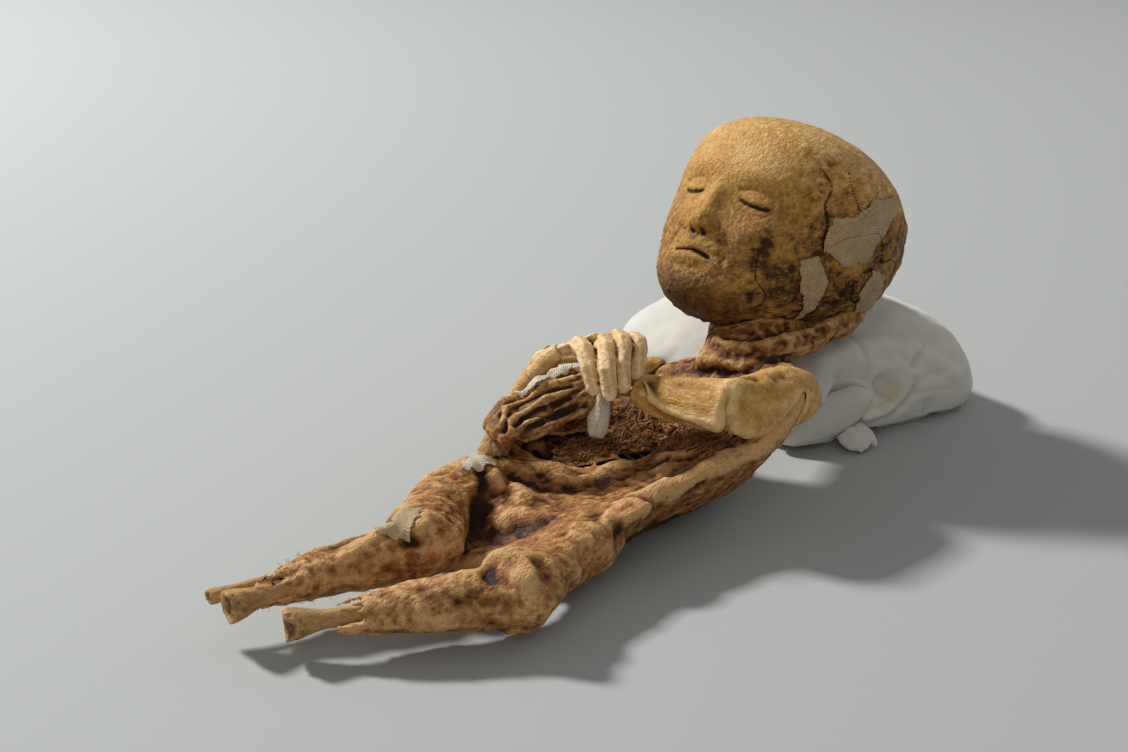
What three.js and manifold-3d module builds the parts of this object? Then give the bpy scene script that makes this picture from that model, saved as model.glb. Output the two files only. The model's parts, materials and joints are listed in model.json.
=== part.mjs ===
// Dried body of an infant lying on its back, its head and shoulders on a small cloth pillow.
// Millimetres: +X is the body's left, +Y points past the head, +Z is up, and the table is Z = 0.
// Every piece is placed in one frame; the last lines bring the middle of the footprint to the origin.

import * as THREE from "three";
import Module from "manifold-3d";

const wasm = await Module();
wasm.setup();

const at = (x, y, z) => new THREE.Vector3(x, y, z);
const degrees = THREE.MathUtils.degToRad;

// Clearances and walls
const GAP = 0.3;
const SCALP_WALL = 2.6;
const TRUNK_WALL = 3;
const TORN_WALL = 1.8;
const LINEN = 0.8;

// Joints of the skeleton
const SHOULDER = { left: at(66, 116, 64), right: at(-36, 110, 50) };
const ELBOW = { left: at(62, 64, 69), right: at(-64, 40, 44) };
const WRIST = { left: at(-5, 47, 72), right: at(-42, 38, 78) };
const HIP = { left: at(48, -22, 22), right: at(-28, -19, 26) };
const KNEE = { left: at(66, -90, 24), right: at(2, -92, 28) };
const ANKLE = { left: at(8, -177, 18), right: at(-24, -190, 22) };
const COLLAR = at(19, 124, 62);

// Head
const HEAD_CENTRE = at(-14, 194, 122);
const HEAD_TILT = 38;
const FACE_SIDES = 32;
const NOSE_HEIGHT = 8;
const NOSE_WIDTH = 7.5;
const EYE_SPACING = 42;
const EYE_LEVEL = -7;
const EYE_HOLLOW = 6;
const LID_BULGE = 3.4;
const ORBIT_DEPTH = 12;
const MOUTH_LEVEL = -43;
const EAR_LEVEL = -24;
const EAR_PLACE = -5;
const EAR_OUT = 53.5;
const JAW_BONE = 3.4;

// Head sections: height above the centre, half width, front, back
const HEAD_SECTIONS = [
  [-70, 15, 45, 22],
  [-66, 23, 53, 12],
  [-56, 35, 58, -2],
  [-44, 45, 60, -26],
  [-32, 52, 61, -52],
  [-18, 57, 62, -70],
  [-4, 60, 63, -77],
  [14, 61, 64, -78],
  [32, 57, 59, -72],
  [45, 48, 46, -60],
  [53, 36, 30, -45],
  [58, 20, 11, -25],
];
const CROWN_RISE = 3;
const SKULL_BASE = -38;

// Trunk sections from crotch to shoulders: place, centre, half width, back, side ridge, middle, side tilt
const TRUNK_SECTIONS = [
  [-72, 6, 11, 8, 17, 15, 0],
  [-62, 8, 17, 5, 21, 18, 0],
  [-50, 11, 26, 3, 25, 21, 0],
  [-36, 11, 46, 0, 34, 28, 0],
  [-10, 11, 56, 0, 44, 29, 0],
  [20, 10, 52, 0, 45, 27, 0],
  [50, 13, 53, 2, 48, 33, 1],
  [80, 19, 59, 7, 56, 45, 4],
  [106, 19, 58, 17, 66, 60, 8],
  [122, 18, 46, 31, 70, 68, 8],
  [134, 18, 22, 44, 68, 68, 5],
];
const TRUNK_SIDES = 24;
const FLANK_LEVEL = 0.8;
const BILGE = 2.2;

// Ragged hole in the skin under the arms: middle, half length, half width, direction
const HOLE_MIDDLE = at(-10, 41, 30);
const HOLE_LENGTH = 42;
const HOLE_WIDTH = 13;
const HOLE_TURN = 50;

// Bones
const RIB_PAIRS = 10;
const RIB_PITCH = 6.4;
const RIB = 1.3;
const ARM_ROOM = 5;
const COLLAR_BONE = 1.8;
const BLADE = 1.6;
const BLADE_ROOM = 5.2;
const VERTEBRA = 5.5;
const NECK_VERTEBRA = 4.8;
const LOIN_VERTEBRA = 6;
const SPINE_ROOM = 2.6;
const SPINE = { tail: -34, loin: -4, chest: 46, neck: 112 };
const FIRST_RIB = SPINE.neck;
const NECK_FOOT = SPINE.neck + 4 * GAP;

// Pillow
const PILLOW = { left: 63, right: -140, foot: 164, head: 318, height: 67 };
const PILLOW_CROWN = 0.26;
const PILLOW_CORNER = 0.34;
const PILLOW_DRAWN = 0.05;
const PILLOW_SLANT = 30;
const PILLOW_SIDES = 44;

// Colours, roughness
const SKIN_GOLD = ["#a97a3c", 0.62];
const SKIN_BROWN = ["#8a5a2c", 0.74];
const SKIN_TAN = ["#b08450", 0.66];
const SKIN_PALE = ["#cbab78", 0.6];
const SKIN_LEG = ["#8d6239", 0.7];
const BONE = ["#b58b55", 0.75];
const LINEN_GREY = ["#b5a184", 0.92];
const LINEN_WHITE = ["#d8d1c4", 0.93];
const COTTON = ["#e4e1da", 0.93];

// Solids from rings of points

function signedVolume(points, faces) {
  let sum = 0;
  for (let k = 0; k < faces.length; k += 3) {
    const [a, b, c] = [points[faces[k]], points[faces[k + 1]], points[faces[k + 2]]];
    sum += a.dot(b.clone().cross(c));
  }
  return sum / 6;
}

function solid(points, faces) {
  const outward = signedVolume(points, faces) > 0;
  const triVerts = Uint32Array.from(outward ? faces : faces.toReversed());
  const vertProperties = Float32Array.from(points.flatMap((p) => p.toArray()));
  return new wasm.Manifold(new wasm.Mesh({ numProp: 3, vertProperties, triVerts }));
}

function centreOf(ring) {
  const sum = ring.reduce((total, p) => total.add(p), at(0, 0, 0));
  return sum.divideScalar(ring.length);
}

function loft(rings) {
  const sides = rings[0].length;
  const points = rings.flat();
  const faces = [];
  for (let i = 0; i < rings.length - 1; i += 1) {
    for (let k = 0; k < sides; k += 1) {
      const a = i * sides + k;
      const b = i * sides + ((k + 1) % sides);
      faces.push(a, b, a + sides, b, b + sides, a + sides);
    }
  }
  const last = (rings.length - 1) * sides;
  points.push(centreOf(rings[0]), centreOf(rings.at(-1)));
  for (let k = 0; k < sides; k += 1) {
    const next = (k + 1) % sides;
    faces.push(points.length - 2, next, k);
    faces.push(points.length - 1, last + k, last + next);
  }
  return solid(points, faces);
}

function catmull(a, b, c, d, t) {
  const slope = (c - a) / 2;
  const nextSlope = (d - b) / 2;
  const cubic = 2 * (b - c) + slope + nextSlope;
  const square = 3 * (c - b) - 2 * slope - nextSlope;
  return ((cubic * t + square) * t + slope) * t + b;
}

function rowAt(rows, place) {
  const i = Math.min(Math.floor(place), rows.length - 2);
  const pick = (n) => rows[THREE.MathUtils.clamp(n, 0, rows.length - 1)];
  return rows[i].map((_, c) => catmull(pick(i - 1)[c], pick(i)[c], pick(i + 1)[c], pick(i + 2)[c], place - i));
}

function refined(rows, steps) {
  const count = (rows.length - 1) * steps;
  return Array.from({ length: count + 1 }, (_, n) => rowAt(rows, n / steps));
}

// The section whose first number is the given place, between the listed ones
function sectionAt(rows, place) {
  const n = rows.findLastIndex((row) => row[0] <= place);
  const i = THREE.MathUtils.clamp(n, 0, rows.length - 2);
  const share = (place - rows[i][0]) / (rows[i + 1][0] - rows[i][0]);
  return rowAt(rows, i + THREE.MathUtils.clamp(share, 0, 1));
}

const round = () => 1;

// A limb follows stations [x, y, z, half width, half depth]; grow swells it, and its ends, evenly.
function limb(stations, options = {}) {
  const { sides = 12, steps = 3, grow = 0, up = at(0, 0, 1), shape = round, torn = 0 } = options;
  const rows = refined(stations, steps);
  const rings = rows.map((row, n) => {
    const centre = at(row[0], row[1], row[2]);
    const before = rows[Math.max(n - 1, 0)];
    const after = rows[Math.min(n + 1, rows.length - 1)];
    const along = at(after[0] - before[0], after[1] - before[1], after[2] - before[2]).normalize();
    const side = along.clone().cross(up).normalize();
    const rise = side.clone().cross(along);
    if (n === 0) centre.addScaledVector(along, -grow);
    if (n === rows.length - 1) centre.addScaledVector(along, grow);
    return Array.from({ length: sides }, (_, k) => {
      const a = (2 * Math.PI * k) / sides;
      const swell = shape(a, n / (rows.length - 1));
      const point = centre.clone();
      point.addScaledVector(side, (row[3] * swell + grow) * Math.cos(a));
      point.addScaledVector(rise, (row[4] * swell + grow) * Math.sin(a));
      if (n === rows.length - 1) point.addScaledVector(along, torn * (k % 2 ? 1 : -0.6) * (1 + Math.cos(2 * a)) * 0.5);
      return point;
    });
  });
  return loft(rings);
}

// Stations given as [share of the way, half width, half depth, shift toward +X, shift up]
function stationsBetween(from, to, rows) {
  return rows.map(([share, wide, deep, shift = 0, lift = 0]) => {
    const p = from.clone().lerp(to, share);
    return [p.x + shift, p.y, p.z + lift, wide, deep];
  });
}

function joined(solids) {
  return solids.reduce((sum, next) => sum.add(next));
}

function cutBy(body, tools) {
  return tools.reduce((rest, tool) => rest.subtract(tool), body);
}

// What a cut leaves as loose crumbs is dropped, and the largest body stays.
function mainBody(body) {
  return body.decompose().reduce((largest, next) => (next.volume() > largest.volume() ? next : largest));
}

const object = new THREE.Group();

function addPiece(name, body, [color, roughness]) {
  const mesh = mainBody(body).getMesh();
  const geometry = new THREE.BufferGeometry();
  geometry.setAttribute("position", new THREE.BufferAttribute(Float32Array.from(mesh.vertProperties), 3));
  geometry.setIndex(Array.from(mesh.triVerts));
  geometry.computeVertexNormals();
  const material = new THREE.MeshStandardMaterial({ color, roughness, metalness: 0 });
  const piece = new THREE.Mesh(geometry, material);
  piece.name = name;
  object.add(piece);
}

// Head

const tilt = degrees(HEAD_TILT);
const HEAD_UP = at(0, Math.sin(tilt), Math.cos(tilt));
const HEAD_FORWARD = at(0, -Math.cos(tilt), Math.sin(tilt));

function headPoint(left, forward, height) {
  const p = HEAD_CENTRE.clone();
  p.x += left;
  return p.addScaledVector(HEAD_FORWARD, forward).addScaledVector(HEAD_UP, height);
}

const hill = (x, y, width, height) => Math.exp(-((x / width) ** 2) - (y / height) ** 2);

// How far the face stands out from a plain oval, for the skin and for the bone beneath it
function skinRelief(left, height) {
  const eye = Math.abs(left) - EYE_SPACING / 2;
  const nose = NOSE_HEIGHT * hill(left, height + 27, NOSE_WIDTH, 6) + 4 * hill(left, height + 14, 5, 10);
  const hollow = -EYE_HOLLOW * hill(eye, height - EYE_LEVEL, 13, 9);
  const lid = LID_BULGE * hill(eye, height - EYE_LEVEL, 8, 5.5);
  const brow = 1.2 * hill(eye, height - EYE_LEVEL - 13, 13, 5);
  const lips = 2.4 * hill(left, height - MOUTH_LEVEL + 4, 12, 3) + 2.2 * hill(left, height - MOUTH_LEVEL - 4, 12, 3);
  const cheek = 2 * hill(Math.abs(left) - 27, height + 26, 9, 9);
  const chin = 3 * hill(left, height + 62, 10, 7);
  return nose + hollow + lid + brow + lips + cheek + chin;
}

function boneRelief(left, height) {
  const eye = Math.abs(left) - EYE_SPACING / 2;
  const orbit = -ORBIT_DEPTH * hill(eye, height - EYE_LEVEL, 15, 13);
  const nostrils = -3 * hill(left, height + 25, 5, 6);
  return orbit + nostrils + 1.5 * hill(left, height + 12, 4, 6);
}

function headRing([height, half, front, back], inset, sides, relief) {
  const middle = (front + back) / 2;
  const reach = (front - back) / 2 - inset;
  return Array.from({ length: sides }, (_, k) => {
    const a = (2 * Math.PI * k) / sides;
    const left = (half - inset) * Math.sign(Math.sin(a)) * Math.abs(Math.sin(a)) ** 0.9;
    const ahead = Math.cos(a) > 0 ? relief(left, height) * Math.min(1, 2.5 * Math.cos(a)) : 0;
    return headPoint(left, middle + reach * Math.cos(a) + ahead, height);
  });
}

// The braincase keeps its wall at the crown too: its sections are drawn toward the centre by the inset.
function headLoft(inset, { sides, levels, relief, base }) {
  const [height, , front, back] = HEAD_SECTIONS.at(-1);
  const draw = (height + CROWN_RISE - inset) / (height + CROWN_RISE);
  const rings = Array.from({ length: levels + 1 }, (_, n) => {
    const level = THREE.MathUtils.lerp(base, height * draw, n / levels);
    return headRing([level, ...sectionAt(HEAD_SECTIONS, level / draw).slice(1)], inset, sides, relief);
  });
  const crown = headPoint(0, (front + back) / 2, (height + CROWN_RISE) * draw);
  rings.push(rings.at(-1).map((p) => p.clone().lerp(crown, 0.5).addScaledVector(HEAD_UP, 0.25 * CROWN_RISE)));
  return loft(rings);
}

function headForm(grow) {
  const base = HEAD_SECTIONS[0][0] - grow;
  return headLoft(-grow, { sides: FACE_SIDES, levels: 22, relief: skinRelief, base });
}

function skullForm(grow) {
  const inset = SCALP_WALL + GAP - grow;
  return headLoft(inset, { sides: 20, levels: 11, relief: boneRelief, base: SKULL_BASE - grow });
}

function jawForm(grow) {
  const path = [
    [38, 6, -40],
    [34, 14, -47],
    [26, 30, -53],
    [15, 43, -57],
    [0, 49, -58],
  ];
  const halves = [...path, ...path.slice(0, -1).toReversed().map(([x, y, z]) => [-x, y, z])];
  const stations = halves.map(([x, y, z]) => [...headPoint(x, y, z).toArray(), JAW_BONE, JAW_BONE * 1.1]);
  return limb(stations, { sides: 8, steps: 2, grow, up: HEAD_UP });
}

function ear(side, grow = 0) {
  const rows = [-11, -5, 3, 10].map((height, n) => {
    const wide = [2.5, 5, 6.5, 4][n];
    const p = headPoint(side * EAR_OUT, EAR_PLACE + 0.2 * height, EAR_LEVEL + height);
    return [...p.toArray(), 2.6, wide];
  });
  return limb(rows, { sides: 10, steps: 1, grow, up: HEAD_FORWARD });
}

// The neck widens upward into the nape, which hangs from the back of the head onto the pillow.
const neckRows = () => {
  const nape = headPoint(0, -20, SKULL_BASE + 4);
  const half = COLLAR.clone().lerp(nape, 0.5);
  return [
    [COLLAR.x - 2, COLLAR.y - 6, COLLAR.z - 3, 24, 14],
    [COLLAR.x - 6, COLLAR.y + 8, COLLAR.z + 4, 23, 18],
    [half.x, half.y, half.z, 26, 22],
    [nape.x, nape.y, nape.z, 31, 26],
  ];
};

const neckForm = (grow) => limb(neckRows(), { sides: 16, steps: 2, grow });

// A column of vertebrae along a route: each stands out as a wider drum than the dried disc after it.
function spineAlong(route, count, radius, grow = 0) {
  const rows = [];
  for (let n = 0; n < count; n += 1) {
    rows.push([...route(n / count).toArray(), radius * 0.8, radius * 0.75]);
    rows.push([...route((n + 0.25) / count).toArray(), radius, radius * 0.9]);
    rows.push([...route((n + 0.75) / count).toArray(), radius, radius * 0.9]);
  }
  rows.push([...route(1).toArray(), radius * 0.8, radius * 0.75]);
  return limb(rows, { sides: 7, steps: 1, grow });
}

function neckSpine(grow) {
  const bend = [
    spinePoint(NECK_FOOT),
    at(COLLAR.x - 4, COLLAR.y + 8, COLLAR.z - 1),
    headPoint(0, -22, SKULL_BASE - 14),
    headPoint(0, -16, SKULL_BASE - GAP),
  ];
  const curve = new THREE.CatmullRomCurve3(bend);
  return spineAlong((share) => curve.getPoint(share), 7, NECK_VERTEBRA, grow);
}

// Trunk

function trunkPoint([y, centre, half, back, ridge, middle, lean], a, inset) {
  const across = Math.sign(Math.cos(a)) * Math.abs(Math.cos(a)) ** 0.8;
  const flank = back + FLANK_LEVEL * (ridge - back);
  const top = middle + (ridge - middle) * Math.abs(across) ** 2.2 - inset;
  const over = Math.abs(Math.sin(a)) ** 0.6;
  const under = Math.min(1, 1.1 * Math.abs(Math.sin(a)) ** BILGE);
  const level = Math.sin(a) >= 0 ? flank + (top - flank) * over : flank - (flank - back - inset) * under;
  return at(centre + (half - inset) * across, y, Math.max(level + lean * across, inset));
}

function trunkRing(row, inset) {
  return Array.from({ length: TRUNK_SIDES }, (_, k) => trunkPoint(row, (2 * Math.PI * k) / TRUNK_SIDES, inset));
}

function trunkForm(inset) {
  const first = TRUNK_SECTIONS[0][0];
  const last = TRUNK_SECTIONS.at(-1)[0];
  const middle = (first + last) / 2;
  const draw = 1 - (2 * inset) / (last - first);
  const rows = refined(TRUNK_SECTIONS, 2);
  return loft(rows.map(([y, ...rest]) => trunkRing([middle + (y - middle) * draw, ...rest], inset)));
}

// A point at an angle from the left flank; angles go up over the front of the body.
const trunkPointAt = (y, angle, inset) => trunkPoint(sectionAt(TRUNK_SECTIONS, y), degrees(angle), inset);

function holeTool() {
  const along = at(Math.cos(degrees(HOLE_TURN)), Math.sin(degrees(HOLE_TURN)), 0);
  const across = at(-along.y, along.x, 0);
  const ring = (z) =>
    Array.from({ length: 22 }, (_, k) => {
      const a = (2 * Math.PI * k) / 22;
      const ragged = 1 + 0.1 * Math.sin(5 * a) + 0.07 * Math.sin(8 * a + 1);
      const p = at(HOLE_MIDDLE.x, HOLE_MIDDLE.y, z);
      p.addScaledVector(along, HOLE_LENGTH * ragged * Math.cos(a));
      return p.addScaledVector(across, HOLE_WIDTH * ragged * Math.sin(a));
    });
  return loft([ring(HOLE_MIDDLE.z - TRUNK_WALL - 2), ring(HOLE_MIDDLE.z + 60)]);
}

const RIB_INSET = TRUNK_WALL + BLADE_ROOM + RIB;
const mirror = { left: 1, right: -1 };

// Angles are counted from the flank: negative toward the back, positive toward the front.
function ringAngle(side, angle) {
  return side === "left" ? angle : 180 - angle;
}

function ribs(side) {
  const cartilage = [];
  const bars = [];
  for (let n = 0; n < RIB_PAIRS; n += 1) {
    const y = FIRST_RIB - n * RIB_PITCH;
    const front = 84 - 8 * Math.max(0, n - 5);
    const path = [-85, -48, -8, 26, 52, front].map((angle) => {
      const slope = (angle + 80) * 0.05;
      const inset = RIB_INSET + ARM_ROOM * Math.cos(degrees(angle)) ** 2;
      return [...trunkPointAt(y - slope, ringAngle(side, angle), inset).toArray(), RIB, RIB];
    });
    bars.push(limb(path, { sides: 4, steps: 1, up: at(0, 1, 0.2) }));
    cartilage.push([...path.at(-1).slice(0, 3), RIB * 1.2, RIB * 1.2]);
  }
  return joined([...bars, limb(cartilage, { sides: 5, steps: 1 })]);
}

function breastbone(grow = 0) {
  const path = [0, 0.35, 0.7, 1].map((share, n) => {
    const p = trunkPointAt(FIRST_RIB - 4 - share * 44, 90, RIB_INSET);
    return [...p.toArray(), [6.5, 5.6, 5.6, 3][n], 1.3];
  });
  return limb(path, { sides: 8, steps: 2, grow });
}

function collarBone(side) {
  const path = [80, 62, 46, 34].map((angle) => {
    const p = trunkPointAt(COLLAR.y - 7, ringAngle(side, angle), TRUNK_WALL + 2 * GAP + COLLAR_BONE);
    return [...p.toArray(), COLLAR_BONE, COLLAR_BONE];
  });
  return limb(path, { sides: 8, steps: 2, up: at(0, 1, 0) });
}

// The blade lies between the ribs and the skin of the back, and leans with the back.
function shoulderBlade(side, grow = 0) {
  const rows = [108, 102, 95, 87].map((y, n) => {
    const p = trunkPointAt(y, ringAngle(side, -64), TRUNK_WALL + BLADE_ROOM * 0.55);
    return [...p.toArray(), [7.5, 7, 5, 3][n], BLADE / 2];
  });
  const [, , half, , , , lean] = sectionAt(TRUNK_SECTIONS, 100);
  const slope = lean / half + mirror[side] * 0.12;
  return limb(rows, { sides: 8, steps: 1, grow, up: at(-slope, 0, 1).normalize() });
}

const WING_ROOM = 2.8;

// The wing of the hip bone follows the inside of the flank from the sacrum to the front crest.
function hipBone(side, grow = 0) {
  const rows = [-66, -52, -38, -26].map((angle, n) => {
    const p = trunkPointAt(2 + 3 * n, ringAngle(side, angle), TRUNK_WALL + GAP + WING_ROOM);
    return [...p.toArray(), [8, 11, 12, 8][n], 1.8];
  });
  return limb(rows, { sides: 8, steps: 1, grow, up: at(mirror[side] * -0.75, 0, 0.66) });
}

const spinePoint = (y) => trunkPointAt(y, -90, TRUNK_WALL + SPINE_ROOM + LOIN_VERTEBRA);

function spineBetween(from, to, count, thickness, grow = 0) {
  return spineAlong((share) => spinePoint(THREE.MathUtils.lerp(from, to, share)), count, thickness, grow);
}

function sacrum() {
  const rows = stationsBetween(spinePoint(SPINE.tail), spinePoint(SPINE.loin - 2 * GAP), [
    [0, 2, 1.6, 0, -2],
    [0.4, 6, 2.6, 0, -1],
    [1, 9, 4.5],
  ]);
  return limb(rows, { sides: 10, steps: 2 });
}

// Arms

function longBone(from, to, shaft, end, grow = 0) {
  const rows = stationsBetween(from, to, [
    [0, end * 0.7, end * 0.7],
    [0.05, end, end],
    [0.2, shaft * 1.15, shaft * 1.15],
    [0.5, shaft, shaft],
    [0.8, shaft * 1.15, shaft * 1.15],
    [0.95, end, end],
    [1, end * 0.7, end * 0.7],
  ]);
  return limb(rows, { sides: 8, steps: 1, grow });
}

// A bone stops short of the joint's centre, so that the two bones of a joint stand face to face.
function shortened(from, to, atFrom, atTo) {
  const along = to.clone().sub(from).normalize();
  return [from.clone().addScaledVector(along, atFrom), to.clone().addScaledVector(along, -atTo)];
}

const HUMERUS = { shaft: 3.2, end: 5.4 };
const FOREARM_BONE = { shaft: 2, end: 3 };

function humerus(side, grow = 0) {
  const [from, to] = shortened(SHOULDER[side], ELBOW[side], 0, FOREARM_BONE.end);
  return longBone(from, to, HUMERUS.shaft, HUMERUS.end, grow);
}

// The two forearm bones lie side by side, apart by their ends and a clearance.
const FOREARM_SPREAD = { left: at(0, 0.3, 0.95), right: at(-0.6, 0.6, 0.5) };

function forearmBone(side, sign, grow = 0) {
  const half = FOREARM_BONE.end + 2 * GAP;
  const shift = FOREARM_SPREAD[side].clone().normalize().multiplyScalar(sign * half);
  const from = ELBOW[side].clone().add(shift);
  const to = WRIST[side].clone().add(shift);
  const [start, end] = shortened(from, to, HUMERUS.end, -3);
  return longBone(start, end, FOREARM_BONE.shaft, FOREARM_BONE.end, grow);
}

const radius = (side, grow = 0) => forearmBone(side, 1, grow);
const ulna = (side, grow = 0) => forearmBone(side, -1, grow);

const UPPER_ARM_ROWS = {
  left: [
    [-0.24, 6, 5, -3, 0],
    [-0.16, 11, 8, -2, 1],
    [0, 15, 10, -1, 1],
    [0.3, 17, 10, -1, 1],
    [0.6, 17, 9.5, 0, 0],
    [0.85, 16, 9, -1, 1],
    [1, 12, 7, -2, 1],
    [1.06, 5, 3.5, -2, 1],
  ],
  right: [
    [-0.16, 5, 5],
    [-0.1, 10, 9],
    [0.1, 13, 11],
    [0.5, 12, 10],
    [0.9, 11, 9],
    [1.06, 9, 8],
    [1.12, 4, 4],
  ],
};

const crease = (depth, turns) => (a, t) => 1 + depth * Math.sin(turns * a + 7 * t);

function upperArmForm(side, grow = 0) {
  const rows = stationsBetween(SHOULDER[side], ELBOW[side], UPPER_ARM_ROWS[side]);
  const lean = side === "left" ? at(0.85, 0, 0.5) : at(-0.6, 0, 0.8);
  return limb(rows, { sides: 14, steps: 1, grow, up: lean.normalize(), shape: crease(0.03, 3) });
}

const FOREARM_ROWS = {
  left: [
    [0.02, 13, 9, 0, 2],
    [0.2, 14, 10, 0, 1],
    [0.45, 12.5, 9.5, 0, 0],
    [0.66, 10, 8, 0, -1],
    [0.78, 8, 6.5, 0, 0],
  ],
  right: [
    [-0.04, 9, 8],
    [0.2, 11, 9],
    [0.6, 9.5, 8],
    [0.95, 7.5, 6.5],
  ],
};

function forearmForm(side, grow = 0, torn = 0) {
  const rows = stationsBetween(ELBOW[side], WRIST[side], FOREARM_ROWS[side]);
  const lean = side === "left" ? at(0, -0.8, 0.6) : at(0.8, 0, 0.3);
  return limb(rows, { sides: 14, steps: 1, grow, torn, up: lean.normalize(), shape: crease(0.04, 3) });
}

// The broken end of the left forearm is an open curl of skin.
function forearmHollow() {
  const rows = stationsBetween(ELBOW.left, WRIST.left, [
    [0.5, 6, 4, 0, 0],
    [0.66, 10 - TORN_WALL, 8 - TORN_WALL, 0, -1],
    [0.9, 8 - TORN_WALL, 6.5 - TORN_WALL, 0, 0],
  ]);
  return limb(rows, { sides: 12, steps: 2, up: at(0, -0.8, 0.6).normalize() });
}

// Fingers go through hand-set points from knuckle to tip; the last size is the tip's.
const FINGERS = {
  right: [
    [at(-25, 44, 88), at(-11, 34, 91), at(-3, 29, 85), at(3, 27, 75)],
    [at(-16, 52, 90), at(-1, 40, 93), at(8, 31, 86), at(12, 29, 74)],
    [at(-12, 60, 91), at(0, 51, 94), at(9, 41, 87), at(13, 38, 76)],
    [at(-8, 67, 89), at(2, 61, 91), at(8, 54, 85), at(10, 51, 78)],
  ],
  left: [
    [at(-17, 43, 75), at(-27, 21, 71), at(-35, 0, 64), at(-38, -9, 54)],
    [at(-13, 40, 74), at(-21, 16, 70), at(-30, -4, 62), at(-34, -11, 53)],
    [at(-10, 37, 72), at(-16, 11, 67), at(-25, -7, 59), at(-30, -12, 52)],
    [at(-6, 34, 69), at(-11, 8, 63), at(-20, -8, 55), at(-25, -12, 50)],
  ],
};
const THUMB = {
  right: [at(-20, 44, 84), at(-6, 40, 76), at(-1, 36, 66), at(3, 30, 57)],
  left: [at(-4, 37, 68), at(-4, 23, 62), at(-10, 7, 57), at(-17, -3, 52)],
};
const FINGER_SIZE = { right: 4.4, left: 4.1 };

function fingerForm(side, points, grow = 0) {
  const size = FINGER_SIZE[side];
  const sizes = [1.1, 1.08, 1, 0.85];
  const rows = points.map((p, n) => [...p.toArray(), size * sizes[n], size * sizes[n]]);
  const last = points.at(-1).clone().lerp(points.at(-2), -0.22);
  rows.push([...last.toArray(), size * 0.4, size * 0.4]);
  return limb(rows, { sides: 6, steps: 1, grow, up: at(0.3, 0.9, 0.3).normalize() });
}

function metacarpal(side, knuckle, grow) {
  const rows = stationsBetween(WRIST[side], knuckle, [
    [-0.12, 4.5, 4.5],
    [0.5, 4, 3.7],
    [1, 4.2, 4.2],
    [1.08, 3, 3],
  ]);
  return limb(rows, { sides: 5, steps: 1, grow });
}

// The dried web of the palm fills the space between the bars that run to the knuckles.
function palm(side, grow) {
  const [first, , , last] = FINGERS[side].map((points) => points[0]);
  const middle = first.clone().lerp(last, 0.5);
  const spread = first.distanceTo(last) / 2;
  const rows = stationsBetween(WRIST[side], middle, [
    [0, 5, 3.4],
    [0.5, spread * 0.75, 3.2],
    [0.95, spread, 3],
  ]);
  const along = middle.clone().sub(WRIST[side]);
  const face = last.clone().sub(first).cross(along).normalize();
  return limb(rows, { sides: 8, steps: 1, grow, up: face });
}

function handForm(side, grow = 0) {
  const digits = [...FINGERS[side], THUMB[side]];
  const bars = digits.map((points) => metacarpal(side, points[0], grow));
  return joined([palm(side, grow), ...bars, ...digits.map((points) => fingerForm(side, points, grow))]);
}

// Legs

const FEMUR = { shaft: 4, end: 7 };
const TIBIA = { shaft: 4.6, end: 8.6 };
const FIBULA = { left: { shaft: 2.2, end: 3 }, right: { shaft: 2.6, end: 4 } };

function femur(side, grow = 0) {
  const [from, to] = shortened(HIP[side], KNEE[side], 0, 6);
  return longBone(from, to, FEMUR.shaft, FEMUR.end, grow);
}

// The lower ends are bare and flare where the growth plates have gone.
function shinBone(side, offset, { shaft, end }, reach, grow) {
  const from = KNEE[side].clone().add(at(offset, 0, 0));
  const to = ANKLE[side].clone().add(at(offset, 0, 0));
  const [start, tip] = shortened(from, to, 9, -reach);
  const rows = stationsBetween(start, tip, [
    [0, end * 0.8, end * 0.8],
    [0.06, end, end],
    [0.25, shaft * 1.1, shaft * 1.1],
    [0.6, shaft, shaft],
    [0.82, shaft * 1.08, shaft * 1.08],
    [0.94, end * 0.9, end * 0.86],
    [1, end, end * 0.95],
  ]);
  return limb(rows, { sides: 10, steps: 1, grow });
}

// The left fibula is broken short inside its sleeve; the right one stands bare beside the tibia.
const SHIN_SPREAD = { left: { tibia: -2, fibula: 12.5, reach: -60 }, right: { tibia: 4, fibula: -9.8, reach: 0 } };
const tibia = (side, grow = 0) => shinBone(side, SHIN_SPREAD[side].tibia, TIBIA, 0, grow);

function fibula(side, grow = 0) {
  const { fibula: place, reach } = SHIN_SPREAD[side];
  return shinBone(side, place, FIBULA[side], reach, grow);
}

const THIGH_ROWS = {
  left: [
    [-0.1, 16, 12],
    [0.15, 18, 15],
    [0.4, 15, 14],
    [0.65, 14, 12.5],
    [0.85, 18, 17],
    [1, 20.5, 19.5],
    [1.13, 17, 16],
    [1.2, 9, 8],
  ],
  right: [
    [-0.1, 15, 12, 0, 2],
    [0.15, 18, 15, -4, 2],
    [0.4, 19, 14.5, -8, 1],
    [0.65, 18, 13.5, -8, 0],
    [0.85, 19, 16, -4, 0],
    [1, 20.5, 18],
    [1.13, 17, 15],
    [1.2, 9, 8],
  ],
};

function thighForm(side, grow = 0) {
  const rows = stationsBetween(HIP[side], KNEE[side], THIGH_ROWS[side]);
  return limb(rows, { sides: 14, steps: 1, grow, shape: crease(0.04, 3) });
}

const SHIN_ROWS = [
  [0.02, 15, 15],
  [0.18, 15, 13.5],
  [0.35, 14, 12],
  [0.52, 12, 10.5],
  [0.66, 10.5, 9],
];

function shinForm(side, grow = 0, torn = 0) {
  const rows = stationsBetween(KNEE[side], ANKLE[side], SHIN_ROWS);
  return limb(rows, { sides: 14, steps: 1, grow, torn, shape: crease(0.05, 3) });
}

// Linen

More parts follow.
